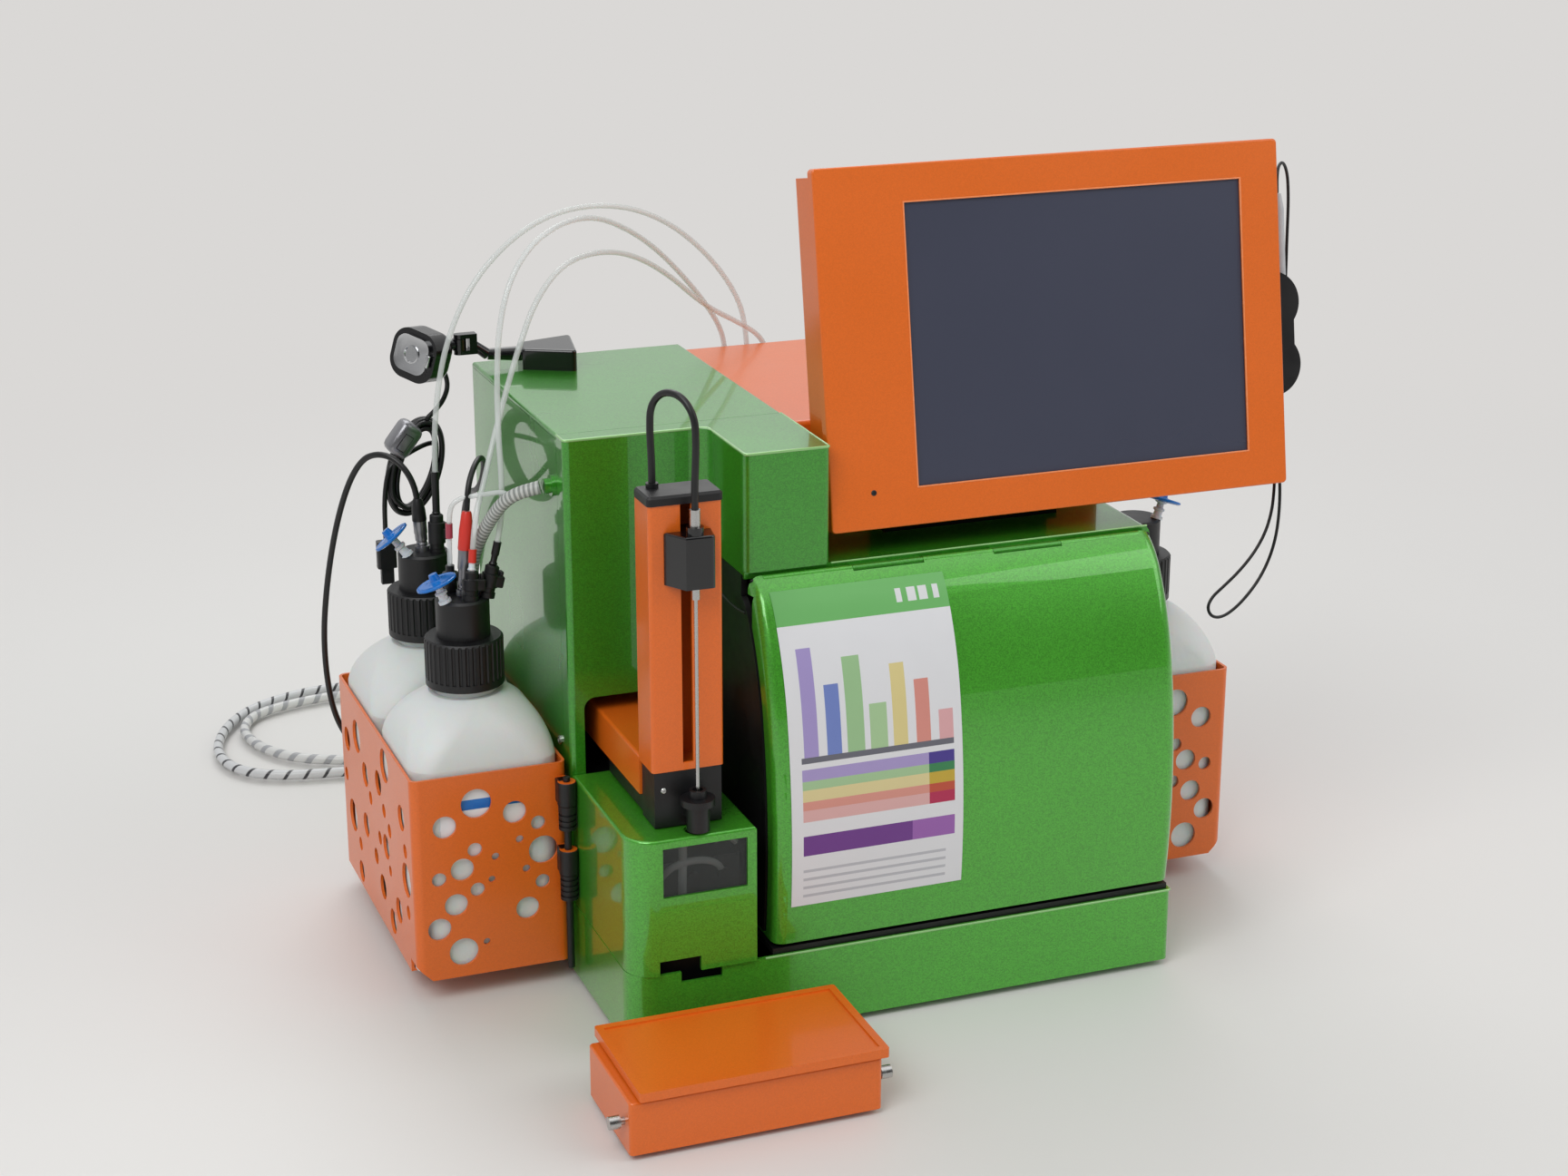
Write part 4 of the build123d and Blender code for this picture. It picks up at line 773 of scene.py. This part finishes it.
TABLE_HOSE = [
    (60, 350, 30), (60, 370, 30), (58, 395, 20), (50, 420, 11), (38, 450, 6), (18, 482, 6), (-12, 512, 6),
    (-50, 534, 6), (-88, 540, 6), (-120, 547, 6), (-146, 564, 6), (-159, 594, 6), (-158, 630, 6),
    (-144, 668, 6), (-122, 700, 6), (-92, 720, 6), (-54, 732, 6), (-14, 730, 6), (26, 712, 6), (60, 682, 6),
    (82, 642, 6), (92, 595, 6), (96, 545, 6), (98, 495, 6), (99, 450, 8), (100, 415, 15), (100, 388, 25),
    (100, 369, 30), (100, 350, 30)]
TABLE_LOOP = [
    (74, 350, 30), (74, 370, 30), (73, 396, 21), (69, 424, 11), (60, 458, 6), (42, 494, 6), (12, 526, 6),
    (-26, 550, 6), (-66, 562, 6), (-98, 577, 6), (-120, 604, 6), (-130, 636, 6), (-130, 664, 6),
    (-116, 690, 6), (-88, 704, 6), (-50, 712, 6), (-14, 711, 6), (20, 695, 6), (47, 668, 6), (66, 634, 6),
    (77, 592, 6), (81, 546, 6), (83, 498, 6), (84, 452, 7), (86, 416, 14), (87, 390, 24), (87, 370, 30),
    (87, 350, 30)]
LANYARD = [
    (353.8, 30, 196.3), (354, 30.2, 208), (357.6, 32.8, 216), (364, 37.6, 217), (369, 41.4, 209.5),
    (370.4, 43, 198), (370.8, 44.6, 184), (370, 46, 165), (369, 47, 142), (367, 47, 118), (364, 46, 94),
    (360, 44, 70), (354, 40, 47), (348.5, 34, 26), (344, 27.5, 8), (340, 23, -8), (337.2, 22, -22),
    (331.5, 22, -37), (322.5, 23.5, -51), (310.5, 24.7, -63), (298, 25.6, -72.5), (290, 25.8, -78),
    (285.4, 25.6, -85), (288.3, 25.4, -92), (296.5, 25.6, -93.5), (307, 26.2, -89), (318, 26.4, -80.5),
    (328, 26, -69.5), (335.5, 24.5, -56), (340, 22.5, -41), (342, 20.5, -24), (342.6, 19.2, -6),
    (342.8, 20.5, 13), (342.4, 25, 33), (342, 30, 57.7)]


@dataclass
class Hank:
    """The reader's cable: a drop from the reader, a wound hank and a tail to the plug."""

    centre: Point = (-43, 357, 308)
    lean: float = 18.0
    half_width: float = 17.5
    half_height: float = 35.5
    turns: int = 7
    points_a_turn: int = 14

    def route(self) -> list[Point]:
        """Points of the whole cable."""
        lean = math.radians(self.lean)
        total = self.turns * self.points_a_turn
        wound = []
        for step in range(total):
            share = step / (total - 1)
            angle = math.tau * step / self.points_a_turn + math.radians(70)
            layer = 0.0 if share < 0.5 else 3.9
            slip = 1.2 * math.sin(2.3 * angle / self.points_a_turn)
            wide, high = self.half_width - layer + slip, self.half_height - layer + slip
            depth = 5.6 * (4 * share - 1 if share < 0.5 else 3 - 4 * share)
            across, up = wide * math.cos(angle), high * math.sin(angle)
            wound.append((self.centre[0] + across * math.cos(lean) + up * math.sin(lean),
                          self.centre[1] - depth,
                          self.centre[2] + up * math.cos(lean) - across * math.sin(lean)))
        return [*READER_CABLE, *wound, *PLUG_CABLE]


def build_cords() -> None:
    """Make every cord."""
    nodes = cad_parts
    Cord("arm_cable_line", ARM_CABLE[::-1], 4.6, 0.151, CABLE, "object", "medium", Body.ARM, Body.CARRIAGE,
         ("arm_cable",), "hanging").build()
    for name, route, diameter, length, finish, stiffness, node in (
            ("tube_a_line", TUBE_A, 4.0, 0.477, TUBE, "stiff", "tube_a"),
            ("tube_b_line", TUBE_B, 4.0, 0.52, TUBE, "stiff", "tube_b"),
            ("tube_c_line", TUBE_C, 4.0, 0.492, TUBE, "stiff", "tube_c"),
            ("front_sensor_line", FRONT_SENSOR_CABLE, 4.0, 0.36, CABLE, "limp", "front_sensor_cable"),
            ("rear_sensor_line", REAR_SENSOR_CABLE, 4.4, 0.46, CABLE, "limp", "rear_sensor_cable"),
            ("waste_hose_line", WASTE_HOSE, 9.0, 0.107, RIBBED, "medium", "waste_hose")):
        Cord(name, route, diameter, length, finish, "object", stiffness, carrier=Body.LEFT,
             nodes=(node,)).build()
    Cord("table_hose_line", TABLE_HOSE, 8.0, 1.02, SPIRAL, "object", "medium", nodes=("table_hose",)).build()
    Cord("table_loop_line", TABLE_LOOP, 8.0, 0.95, PALE_HOSE, "object", "medium",
         nodes=("table_hose",)).build()
    Cord("reader_line", Hank().route(), 3.6, 1.24, CABLE, "plug", "limp",
         nodes=("reader_cable", "cable_hank")).build(with_pieces=[nodes["cable_plug"]])
    lanyard = [tuple(ON_MONITOR @ Vector(p)) for p in LANYARD]
    Cord("lanyard_line", lanyard, 2.2, 0.54, CABLE, "object", "limp", Body.MONITOR, Body.STYLUS,
         ("stylus_lanyard",), "hanging").build()


@dataclass
class BottleFittings:
    """Fittings on the bottles' caps and the sleeves of the hinges."""

    hub_top: float = 267.0
    front_vent: Point = (-69.65, 171, 267)
    rear_vent: Point = (-68.65, 279, 267)
    front_way: Point = (-0.35, 0.134, 0.927)
    rear_way: Point = (-0.6, 0.23, 0.766)
    jumper_at: Point = (-60.9, 191, 267)
    rod: Span = (-6.3, 114.5)
    knuckles: tuple[Span, ...] = ((85.3, 103.0), (135.3, 152.0))

    def stand(self, route: Sequence[Point]) -> tuple[Vector, Vector, float]:
        """Where the fitting below a route stands on its hub.

        Args:
            route: The route of the cord that leaves the fitting.

        Returns:
            The fitting's foot, its direction and its length up to the route.
        """
        top = Vector(route[0])
        way = (Vector(route[1]) - top).normalized()
        foot = top - way * ((top.z - self.hub_top) / way.z)
        return foot, way, (top - foot).length

    def vent(self, name: str, foot: Point, way: Point, stub: float, body: Body, node: str) -> None:
        """Disc filter on its luer stub.

        Args:
            name: The piece's name.
            foot: Where the stub stands on the hub.
            way: The stub's direction.
            stub: The stub's length.
            body: The body that it rides on.
            node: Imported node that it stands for.
        """
        made = Solid(BLUE)
        made.lathe([(0, stub), (5, stub), (12.6, stub + 0.5), (14, stub + 1.2), (14, stub + 2.4),
                    (13.2, stub + 2.9), (12.2, stub + 2.6), (7, stub + 3.0), (4.2, stub + 3.4),
                    (3.6, stub + 4), (2.9, stub + 8.4), (0, stub + 8.4)], foot, way, 48)
        made.paint(LUER)
        made.lathe([(0, 0), (4.4, 0), (4.4, 2.2), (3.3, 2.6), (3.0, stub * 0.45), (4.2, stub * 0.5),
                    (4.2, stub * 0.62), (2.7, stub * 0.66), (2.5, stub - 1.5), (4.6, stub - 0.4),
                    (4.6, stub + 0.2), (0, stub + 0.2)], foot, way)
        made.finish(name, body, replaces=(node,))

    def plug(self, made: Solid, route: Sequence[Point], shell: float, boot: float, colour: Finish) -> None:
        """Round sensor plug with its bend boot.

        Args:
            made: The solid to add it to.
            route: The plug's cable.
            shell: Length of the metal shell.
            boot: Length up to the boot's end.
            colour: The boot's finish.
        """
        foot, way, _ = self.stand(route)
        made.paint(PEWTER)
        made.lathe([(0, 0), (5.2, 0), (5.2, 4), (3.7, 4.4), (3.7, 5.6), (4.2, 6), (3.7, 6.6), (3.7, 7.8),
                    (4.3, 8.2), (4.3, shell * 0.55), (4.7, shell * 0.58), (4.7, shell), (0, shell)], foot,
                   way)
        made.paint(colour)
        made.lathe([(4.9, shell - 1), (5.1, shell), (4.7, shell + (boot - shell) * 0.5), (3.6, boot - 2),
                    (2.9, boot), (1.0, boot)], foot, way)

    def coupling(self, made: Solid, route: Sequence[Point], block: float, sleeve: Finish) -> None:
        """Quick coupling with its latch, barb and the sleeve on the tube.

        Args:
            made: The solid to add it to.
            route: The coupling's tube.
            block: Length of the black block.
            sleeve: The sleeve's finish.
        """
        foot, way, reach = self.stand(route)
        made.paint(LUER)
        made.lathe([(0, 0), (5.6, 0), (5.6, 3.6), (0, 3.6)], foot, way)
        made.paint(BLACK)
        made.lathe([(0, 3.6), (4.9, 3.6), (4.9, 7), (6.0, 7.4), (6.0, block - 6), (4.8, block - 5.4),
                    (4.8, block - 1), (3.6, block), (0, block)], foot, way)
        place = standing(foot, way)
        made.box((-4, 9), (-5, 5), (block * 0.36, block * 0.36 + 8), 1.2, place)
        made.box((5.5, 8), (-3, 3), (block * 0.36 + 7, block * 0.36 + 11), 0.8, place)
        made.paint(LUER)
        made.lathe([(0, block), (2.2, block), (3.0, block + 1), (2.2, block + 2.4), (2.2, reach + 0.5)],
                   foot, way)
        made.paint(sleeve)
        start = max(block + 3, reach - 2)
        made.lathe([(2.0, start), (2.7, start), (2.7, start + 9), (2.0, start + 9)], foot, way)

    def build(self) -> None:
        """Make every fitting."""
        lean, back, up = self.front_way
        self.vent("vent_front_left", self.front_vent, self.front_way, 13.0, Body.LEFT, "vent_filters_left")
        self.vent("vent_rear_left", self.rear_vent, self.rear_way, 16.0, Body.LEFT, "vent_filters_left")
        x, y, z = self.front_vent
        self.vent("vent_right", (BODY_W - x, y, z), (-lean, back, up), 13.0, Body.RIGHT, "vent_filter_right")
        plugs = Solid(PEWTER)
        self.plug(plugs, FRONT_SENSOR_CABLE, 32.0, 57.0, RED)
        self.plug(plugs, REAR_SENSOR_CABLE, 23.0, 38.0, BLACK)
        plugs.finish("sensor_plug_shells", Body.LEFT, replaces=("sensor_plugs",))
        couplings = Solid(BLACK)
        self.coupling(couplings, TUBE_A, 28.0, BLACK)
        couplings.lathe([(1.8, 28), (2.6, 29), (2.6, 51), (1.8, 51)], (-48.1, 278.8, 267), (0.5, 1, 22))
        self.coupling(couplings, TUBE_B, 22.0, PLUM)
        self.coupling(couplings, TUBE_C, 20.0, RED)
        couplings.finish("quick_couplings", Body.LEFT, replaces=("couplings_left",))
        jumper = Solid(TUBE)
        jumper.pipe([(-60.9, 191, 284), (-60.6, 191, 300), (-60.2, 191, 318), (-58.5, 190.5, 328),
                     (-52, 190, 332), (-45, 187, 333.5), (-38.6, 184, 334.5), (-31, 178, 337),
                     (-26.5, 170, 338.5), (-26.5, 160, 339.5)], 3.4)
        jumper.paint(BLACK).lathe([(0, 0), (4.4, 0), (4.4, 8), (5.2, 8.4), (5.2, 14), (3, 15), (3, 19),
                                   (0, 19)], self.jumper_at, (0, 0, 1))
        jumper.paint(PLUM).lathe([(1.6, 0), (2.4, 0), (2.4, 10), (1.6, 10)], (-60.6, 191, 305), (0.02, 0, 1))
        jumper.finish("jumper_tube", Body.LEFT)
        for side, body in ((1, Body.LEFT), (-1, Body.RIGHT)):
            x = self.rod[0] if side == 1 else BODY_W - self.rod[0]
            sleeves = Solid(BLACK)
            for low, high in self.knuckles:
                sleeves.lathe([(6.02, low), (6.5, low + 0.4), (6.5, high - 0.4), (6.02, high)],
                              (x, self.rod[1], 0), (0, 0, 1))
                sleeves.box(sorted((x - 5.4 * side, x + 2.4 * side)), (self.rod[1] + 1, 123.9), (low, high),
                            0.5)
            sleeves.finish(f"knuckle_sleeves_{body.value}", body)
        for name, paper, y, z in (("bottle_label", LABEL, (127.1, 127.45), (100, 152)),
                                  ("label_band", BLUE, (126.95, 127.15), (136, 143))):
            label = Solid(paper)
            label.box((-90, -28), y, z, 0.05)
            label.finish(name, Body.LEFT)


@dataclass
class DoorSheet:
    """Printed sheet that follows the door's curve, with a generic chart on it."""

    x: Span = (109.0, 229.6)
    z: Span = (91.5, 294.2)
    columns: int = 60
    rows: int = 104
    proud: float = 0.35
    margins: Span = (0.06, 0.95)

    def patches(self) -> list[tuple[Span, Span, Colour]]:
        """Inked patches of the chart.

        Returns:
            The shares of the width and of the height that each patch spans, and its ink. The first one wins.
        """
        made = [((c - 0.02, c + 0.02), (0.93, 0.975), screen(250, 252, 250))
                for c in (0.72, 0.79, 0.86, 0.93)]
        made.append(((0.0, 1.0), (0.905, 1.0), screen(122, 206, 112)))
        for left, top, ink in ((0.08, 0.84, (186, 168, 226)), (0.21, 0.72, (128, 150, 220)),
                               (0.34, 0.80, (176, 220, 160)), (0.47, 0.64, (190, 228, 170)),
                               (0.60, 0.76, (250, 232, 158)), (0.73, 0.70, (246, 162, 146)),
                               (0.86, 0.60, (250, 190, 190))):
            made.append(((left, left + 0.09), (0.50, top), screen(*ink)))
        left, right = self.margins
        made.append(((left, right), (0.485, 0.497), screen(120, 120, 130)))
        rows = (((250, 196, 190), (206, 40, 90)), ((246, 168, 150), (220, 90, 60)),
                ((250, 234, 170), (224, 190, 60)), ((186, 224, 168), (60, 150, 90)),
                ((190, 172, 226), (80, 60, 160)))
        for row, (pale, strong) in enumerate(rows):
            span = (0.29 + 0.034 * row, 0.29 + 0.034 * (row + 1))
            made += [((left, 0.80), span, screen(*pale)), ((0.80, right), span, screen(*strong))]
        made += [((left, 0.70), (0.17, 0.245), screen(126, 60, 156)),
                 ((0.70, right), (0.17, 0.245), screen(176, 110, 196))]
        return made + [((left, 0.90), (row / self.rows, (row + 1) / self.rows), screen(214, 214, 218))
                       for row in (3, 6, 9, 12)]

    def build(self) -> None:
        """Make the sheet."""
        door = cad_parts["front_door"]
        mesh = bmesh.new()
        bmesh.ops.create_grid(mesh, x_segments=self.columns, y_segments=self.rows, size=0.5)
        for vert in mesh.verts:
            x = self.x[0] + (vert.co.x + 0.5) * (self.x[1] - self.x[0])
            share = vert.co.y + 0.5
            z = self.z[0] + share * (self.z[1] - self.z[0])
            start = in_frame((x, -60, z))
            hit, spot, normal, _ = door.ray_cast(start, Vector((0, 1, 0)))
            vert.co = spot + normal * self.proud / 1000 if hit else start
        for face in mesh.faces:
            face.smooth = True
        data = bpy.data.meshes.new("door_sheet")
        mesh.to_mesh(data)
        mesh.free()
        inks = data.color_attributes.new(name="ink", type="FLOAT_COLOR", domain="CORNER")
        low, high = in_frame((self.x[0], 0, self.z[0])), in_frame((self.x[1], 0, self.z[1]))
        patches = self.patches()
        for face in data.polygons:
            across = (face.center.x - low.x) / (high.x - low.x)
            up = (face.center.z - low.z) / (high.z - low.z)
            found = (ink for (left, right), (bottom, top), ink in patches
                     if left < across < right and bottom < up < top)
            colour = next(found, (1.0, 1.0, 1.0))
            for corner in face.loop_indices:
                inks.data[corner].color = (*colour, 1.0)
        data.materials.append(PAPER.material())
        Solid.place("door_sheet", data, Body.DOOR, "bottle_plastic")


@dataclass
class ReaderTrim:
    """Plated frame, lens and button on the reader's head, and the strap on its wound cable."""

    head: Point = (-40, 330, 397)
    turns: Point = (6, 14, -52)  # degrees about X, Y and Z
    plate: Point = (28, 3.2, 26)
    strap_at: Point = (-52, 353, 331)
    strap_lean: float = 38.0

    def build(self) -> None:
        """Make the trim and the strap."""
        place = Matrix.Translation(self.head)
        for degrees, axis in zip(self.turns, "XYZ"):
            place = place @ Matrix.Rotation(math.radians(degrees), 4, axis)
        trim = Solid(SILVER)
        form = Matrix.Translation((0, -13.2, 1)) @ Matrix.Diagonal((*self.plate, 1))
        made = bmesh.ops.create_cube(trim.mesh, size=1.0, matrix=form)
        upright = [e for e in {e for v in made["verts"] for e in v.link_edges}
                   if abs(e.verts[0].co.y - e.verts[1].co.y) > 1]
        bmesh.ops.bevel(trim.mesh, geom=upright, offset=8, affect="EDGES", segments=6, profile=0.5,
                        material=-1)
        front = min(trim.mesh.faces, key=lambda f: f.calc_center_median().y)
        bmesh.ops.inset_region(trim.mesh, faces=[front], thickness=2.0, depth=0.0, use_even_offset=True)
        trim.claim()
        trim.paint(SMOOTH_BLACK)
        front.tag = False
        trim.claim()
        bmesh.ops.translate(trim.mesh, vec=(0, 0.5, 0), verts=list(front.verts))
        trim.lathe([(0, 0), (6.4, 0), (6.4, 0.8), (5.6, 1.0), (5.2, 0.3), (0, 0.1)], (0, -14.2, 1),
                   (0, -1, 0))
        trim.box((13.2, 15.8), (-15.2, -13), (-4, 5), 0.8)
        trim.paint(SILVER).box((12.6, 13.3), (-15.0, -13), (-5, 6), 0.3)
        bmesh.ops.transform(trim.mesh, matrix=place, verts=list(trim.mesh.verts))
        trim.finish("reader_trim", Body.READER)
        lean = Matrix.Translation(self.strap_at) @ Matrix.Rotation(math.radians(self.strap_lean), 4, "Y")
        strap = Solid(STRAP)
        strap.box((-9, 9), (-9, 9), (-13, 13), 5.0, lean)
        strap.paint(PEWTER).box((-3.5, 3.5), (-10, -8.6), (-8, 5), 0.5, lean)
        strap.finish("hank_strap", Body.ROOT)


@dataclass
class BodyTrim:
    """Painted highlight beads, screws, and the small pieces round the arm, the cover and the monitor."""

    bead: float = 2.0
    shell_top: float = 382.5
    opening: tuple[Span, Span] = ((61.7, 307.7), (24.9, 209.4))  # of the screen, on the monitor's own axes
    rim: float = 0.5
    rim_y: Span = (-0.2, 0.9)

    def edges(self) -> None:
        """Painted highlights: light green beads on the rounded folded edges of the shells, the base's top
        front edge and the deck's edge.
        """
        top = self.shell_top
        # The rounded beads are real edges, and their light green colour is painted highlight.
        shell = Solid(RIM)
        shell.pipe([(0.6, 140, top), (0.6, 130, top), (0.6, 124.6, top), (6, 124.6, top), (45, 124.6, top),
                    (84, 124.6, top), (98.6, 124.6, top), (98.6, 110, top), (98.6, 84, top), (98.6, 59, top),
                    (98.6, 52.3, top), (105, 52.3, top), (128, 52.3, top), (151, 52.3, top),
                    (155.9, 52.3, top), (155.9, 58, top), (155.9, 98, top), (155.9, 140, top)], self.bead)
        shell.pipe([(92, 0.5, 57.0), (160, 0.5, 57.05), (300, 0.5, 57.0), (384, 0.5, 57.0),
                    (389.5, 0.5, 57.0), (389.5, 6, 57.0), (389.5, 30, 57.0), (389.5, 53, 57.0)],
                   self.bead * 0.8)
        shell.pipe([(158, 54.5, 303.6), (240, 54.5, 303.65), (320, 54.5, 303.6), (388, 54.5, 303.6)],
                   self.bead * 0.7)
        shell.finish("painted_highlight_edges", Body.ROOT)

    def screws(self) -> None:
        """Screws, the inlet's pins and the thin wire in the alcove."""
        head = [(0, 0), (2.4, 0), (2.4, 0.8), (1.9, 1.4), (0.9, 1.5), (0.8, 0.9), (0, 0.9)]
        fixed = Solid(STEEL)
        fixed.lathe([(r * 1.3, a * 1.4) for r, a in head], (0, 146, 169), (-1, 0, 0))
        for x in (10, 380):
            for z in (66, 290):
                fixed.lathe(head, (x, 350, z), (0, 1, 0))
        for x, z in ((338, 88), (344, 94), (350, 88)):
            fixed.box((x - 0.9, x + 0.9), (334, 347), (z - 2.4, z + 2.4), 0.4)
        fixed.finish("screws", Body.ROOT)
        arm = Solid(STEEL)
        arm.lathe([(r * 0.8, a * 0.8) for r, a in head], (28.9, 16.0, 178.4), (0, -1, 0))
        arm.finish("foot_screw", Body.ARM)
        wire = Solid(CABLE)
        wire.pipe([(98.2, 53, 277), (95.5, 62, 277.4), (93, 76, 280), (90.5, 92, 286), (92, 108, 294),
                   (98, 119, 303)], 1.8)
        wire.finish("alcove_wire", Body.ROOT)

    def cover(self) -> None:
        """Clear tubes behind the cover's window."""
        tubes = Solid(TUBE)
        tubes.pipe([(26, 17, 116), (26.5, 13, 121), (33, 11, 127.5), (46, 10.5, 130), (58, 11, 128),
                    (66, 13, 122), (68, 17, 116)], 5.0)
        tubes.pipe([(40, 14, 104), (39.6, 12.5, 118), (40, 12, 132), (40.5, 13, 146)], 6.0)
        tubes.pipe([(62, 13, 140), (66, 11.5, 143), (72, 11.5, 142), (76, 13, 137)], 4.0)
        tubes.finish("cover_tubes", Body.ROOT)

    def monitor(self) -> None:
        """Standby light and a painted highlight along the inner edge of the screen's opening."""
        lamp = Solid(BLACK)
        lamp.lathe([(0, 0.3), (1.2, 0.3), (1.5, 0.5), (1.9, 0.2), (1.9, -0.5)],
                   ON_MONITOR @ Vector((30.3, 0, 24)), ON_MONITOR.to_3x3() @ Vector((0, -1, 0)))
        lamp.finish("standby_light", Body.MONITOR)
        # Thin light orange bars round the opening: painted highlight on its inner edges.
        rim = Solid(WARM_RIM)
        (left, right), upright = self.opening
        for z in upright:
            rim.box((left - self.rim, right + self.rim), self.rim_y, (z - self.rim, z + self.rim), 0.25,
                    ON_MONITOR)
        for x in (left, right):
            rim.box((x - self.rim, x + self.rim), self.rim_y, upright, 0.25, ON_MONITOR)
        rim.finish("screen_rim_painted_highlight", Body.MONITOR)

    def build(self) -> None:
        """Make every piece."""
        self.edges()
        self.screws()
        self.cover()
        self.monitor()


def dress_nodes() -> None:
    """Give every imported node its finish."""
    dress(GREEN, "tower_front", "tower_top", "side_panel_left", "right_shell", "rear_panel")
    dress(LEAF, "base_tray", "front_door", "sample_cover")
    dress(ORANGE, "rear_cover", "monitor_frame", "monitor_back", "arm_base", "arm_tower", "holder_left",
          "holder_right", "sampler_case", "sampler_tray")
    dress(RUBBER, "feet")
    dress(BLACK, "power_inlet", "fluid_ports", "optics_casing", "arm_tunnel", "arm_cap", "arm_foot",
          "wash_cup", "stylus_holder", "caps_left", "caps_right", "couplings_left", "cable_plug",
          "hinge_pins", "fluidics_block")
    dress(SMOOTH_BLACK, "carriage", "reader_base", "reader_head")
    # The monitor bracket is dark alloy, and its black also stands in for the shade and dark reflection under
    # the monitor: painted shade.
    dress(DARK_ALLOY, "optical_bench", "laser_and_detectors", "monitor_bracket")
    dress(ALLOY, "flow_cell")
    dress(STEEL, "needle", "sampler_knobs", "sensor_plugs")
    dress(GREY, "stylus")
    dress(BOTTLE, "bottles_left", "bottles_right")
    dress(BLUE, "vent_filters_left", "vent_filter_right")
    dress(WINDOW, "cover_window")
    dress(GLASS, "touch_screen")


def main() -> None:
    """Build the whole scene."""
    logging.basicConfig(level=logging.INFO, format="%(message)s")
    Studio().build()
    build_cords()
    dress_nodes()
    BottleFittings().build()
    DoorSheet().build()
    ReaderTrim().build()
    BodyTrim().build()


if __name__ == "__main__":
    main()
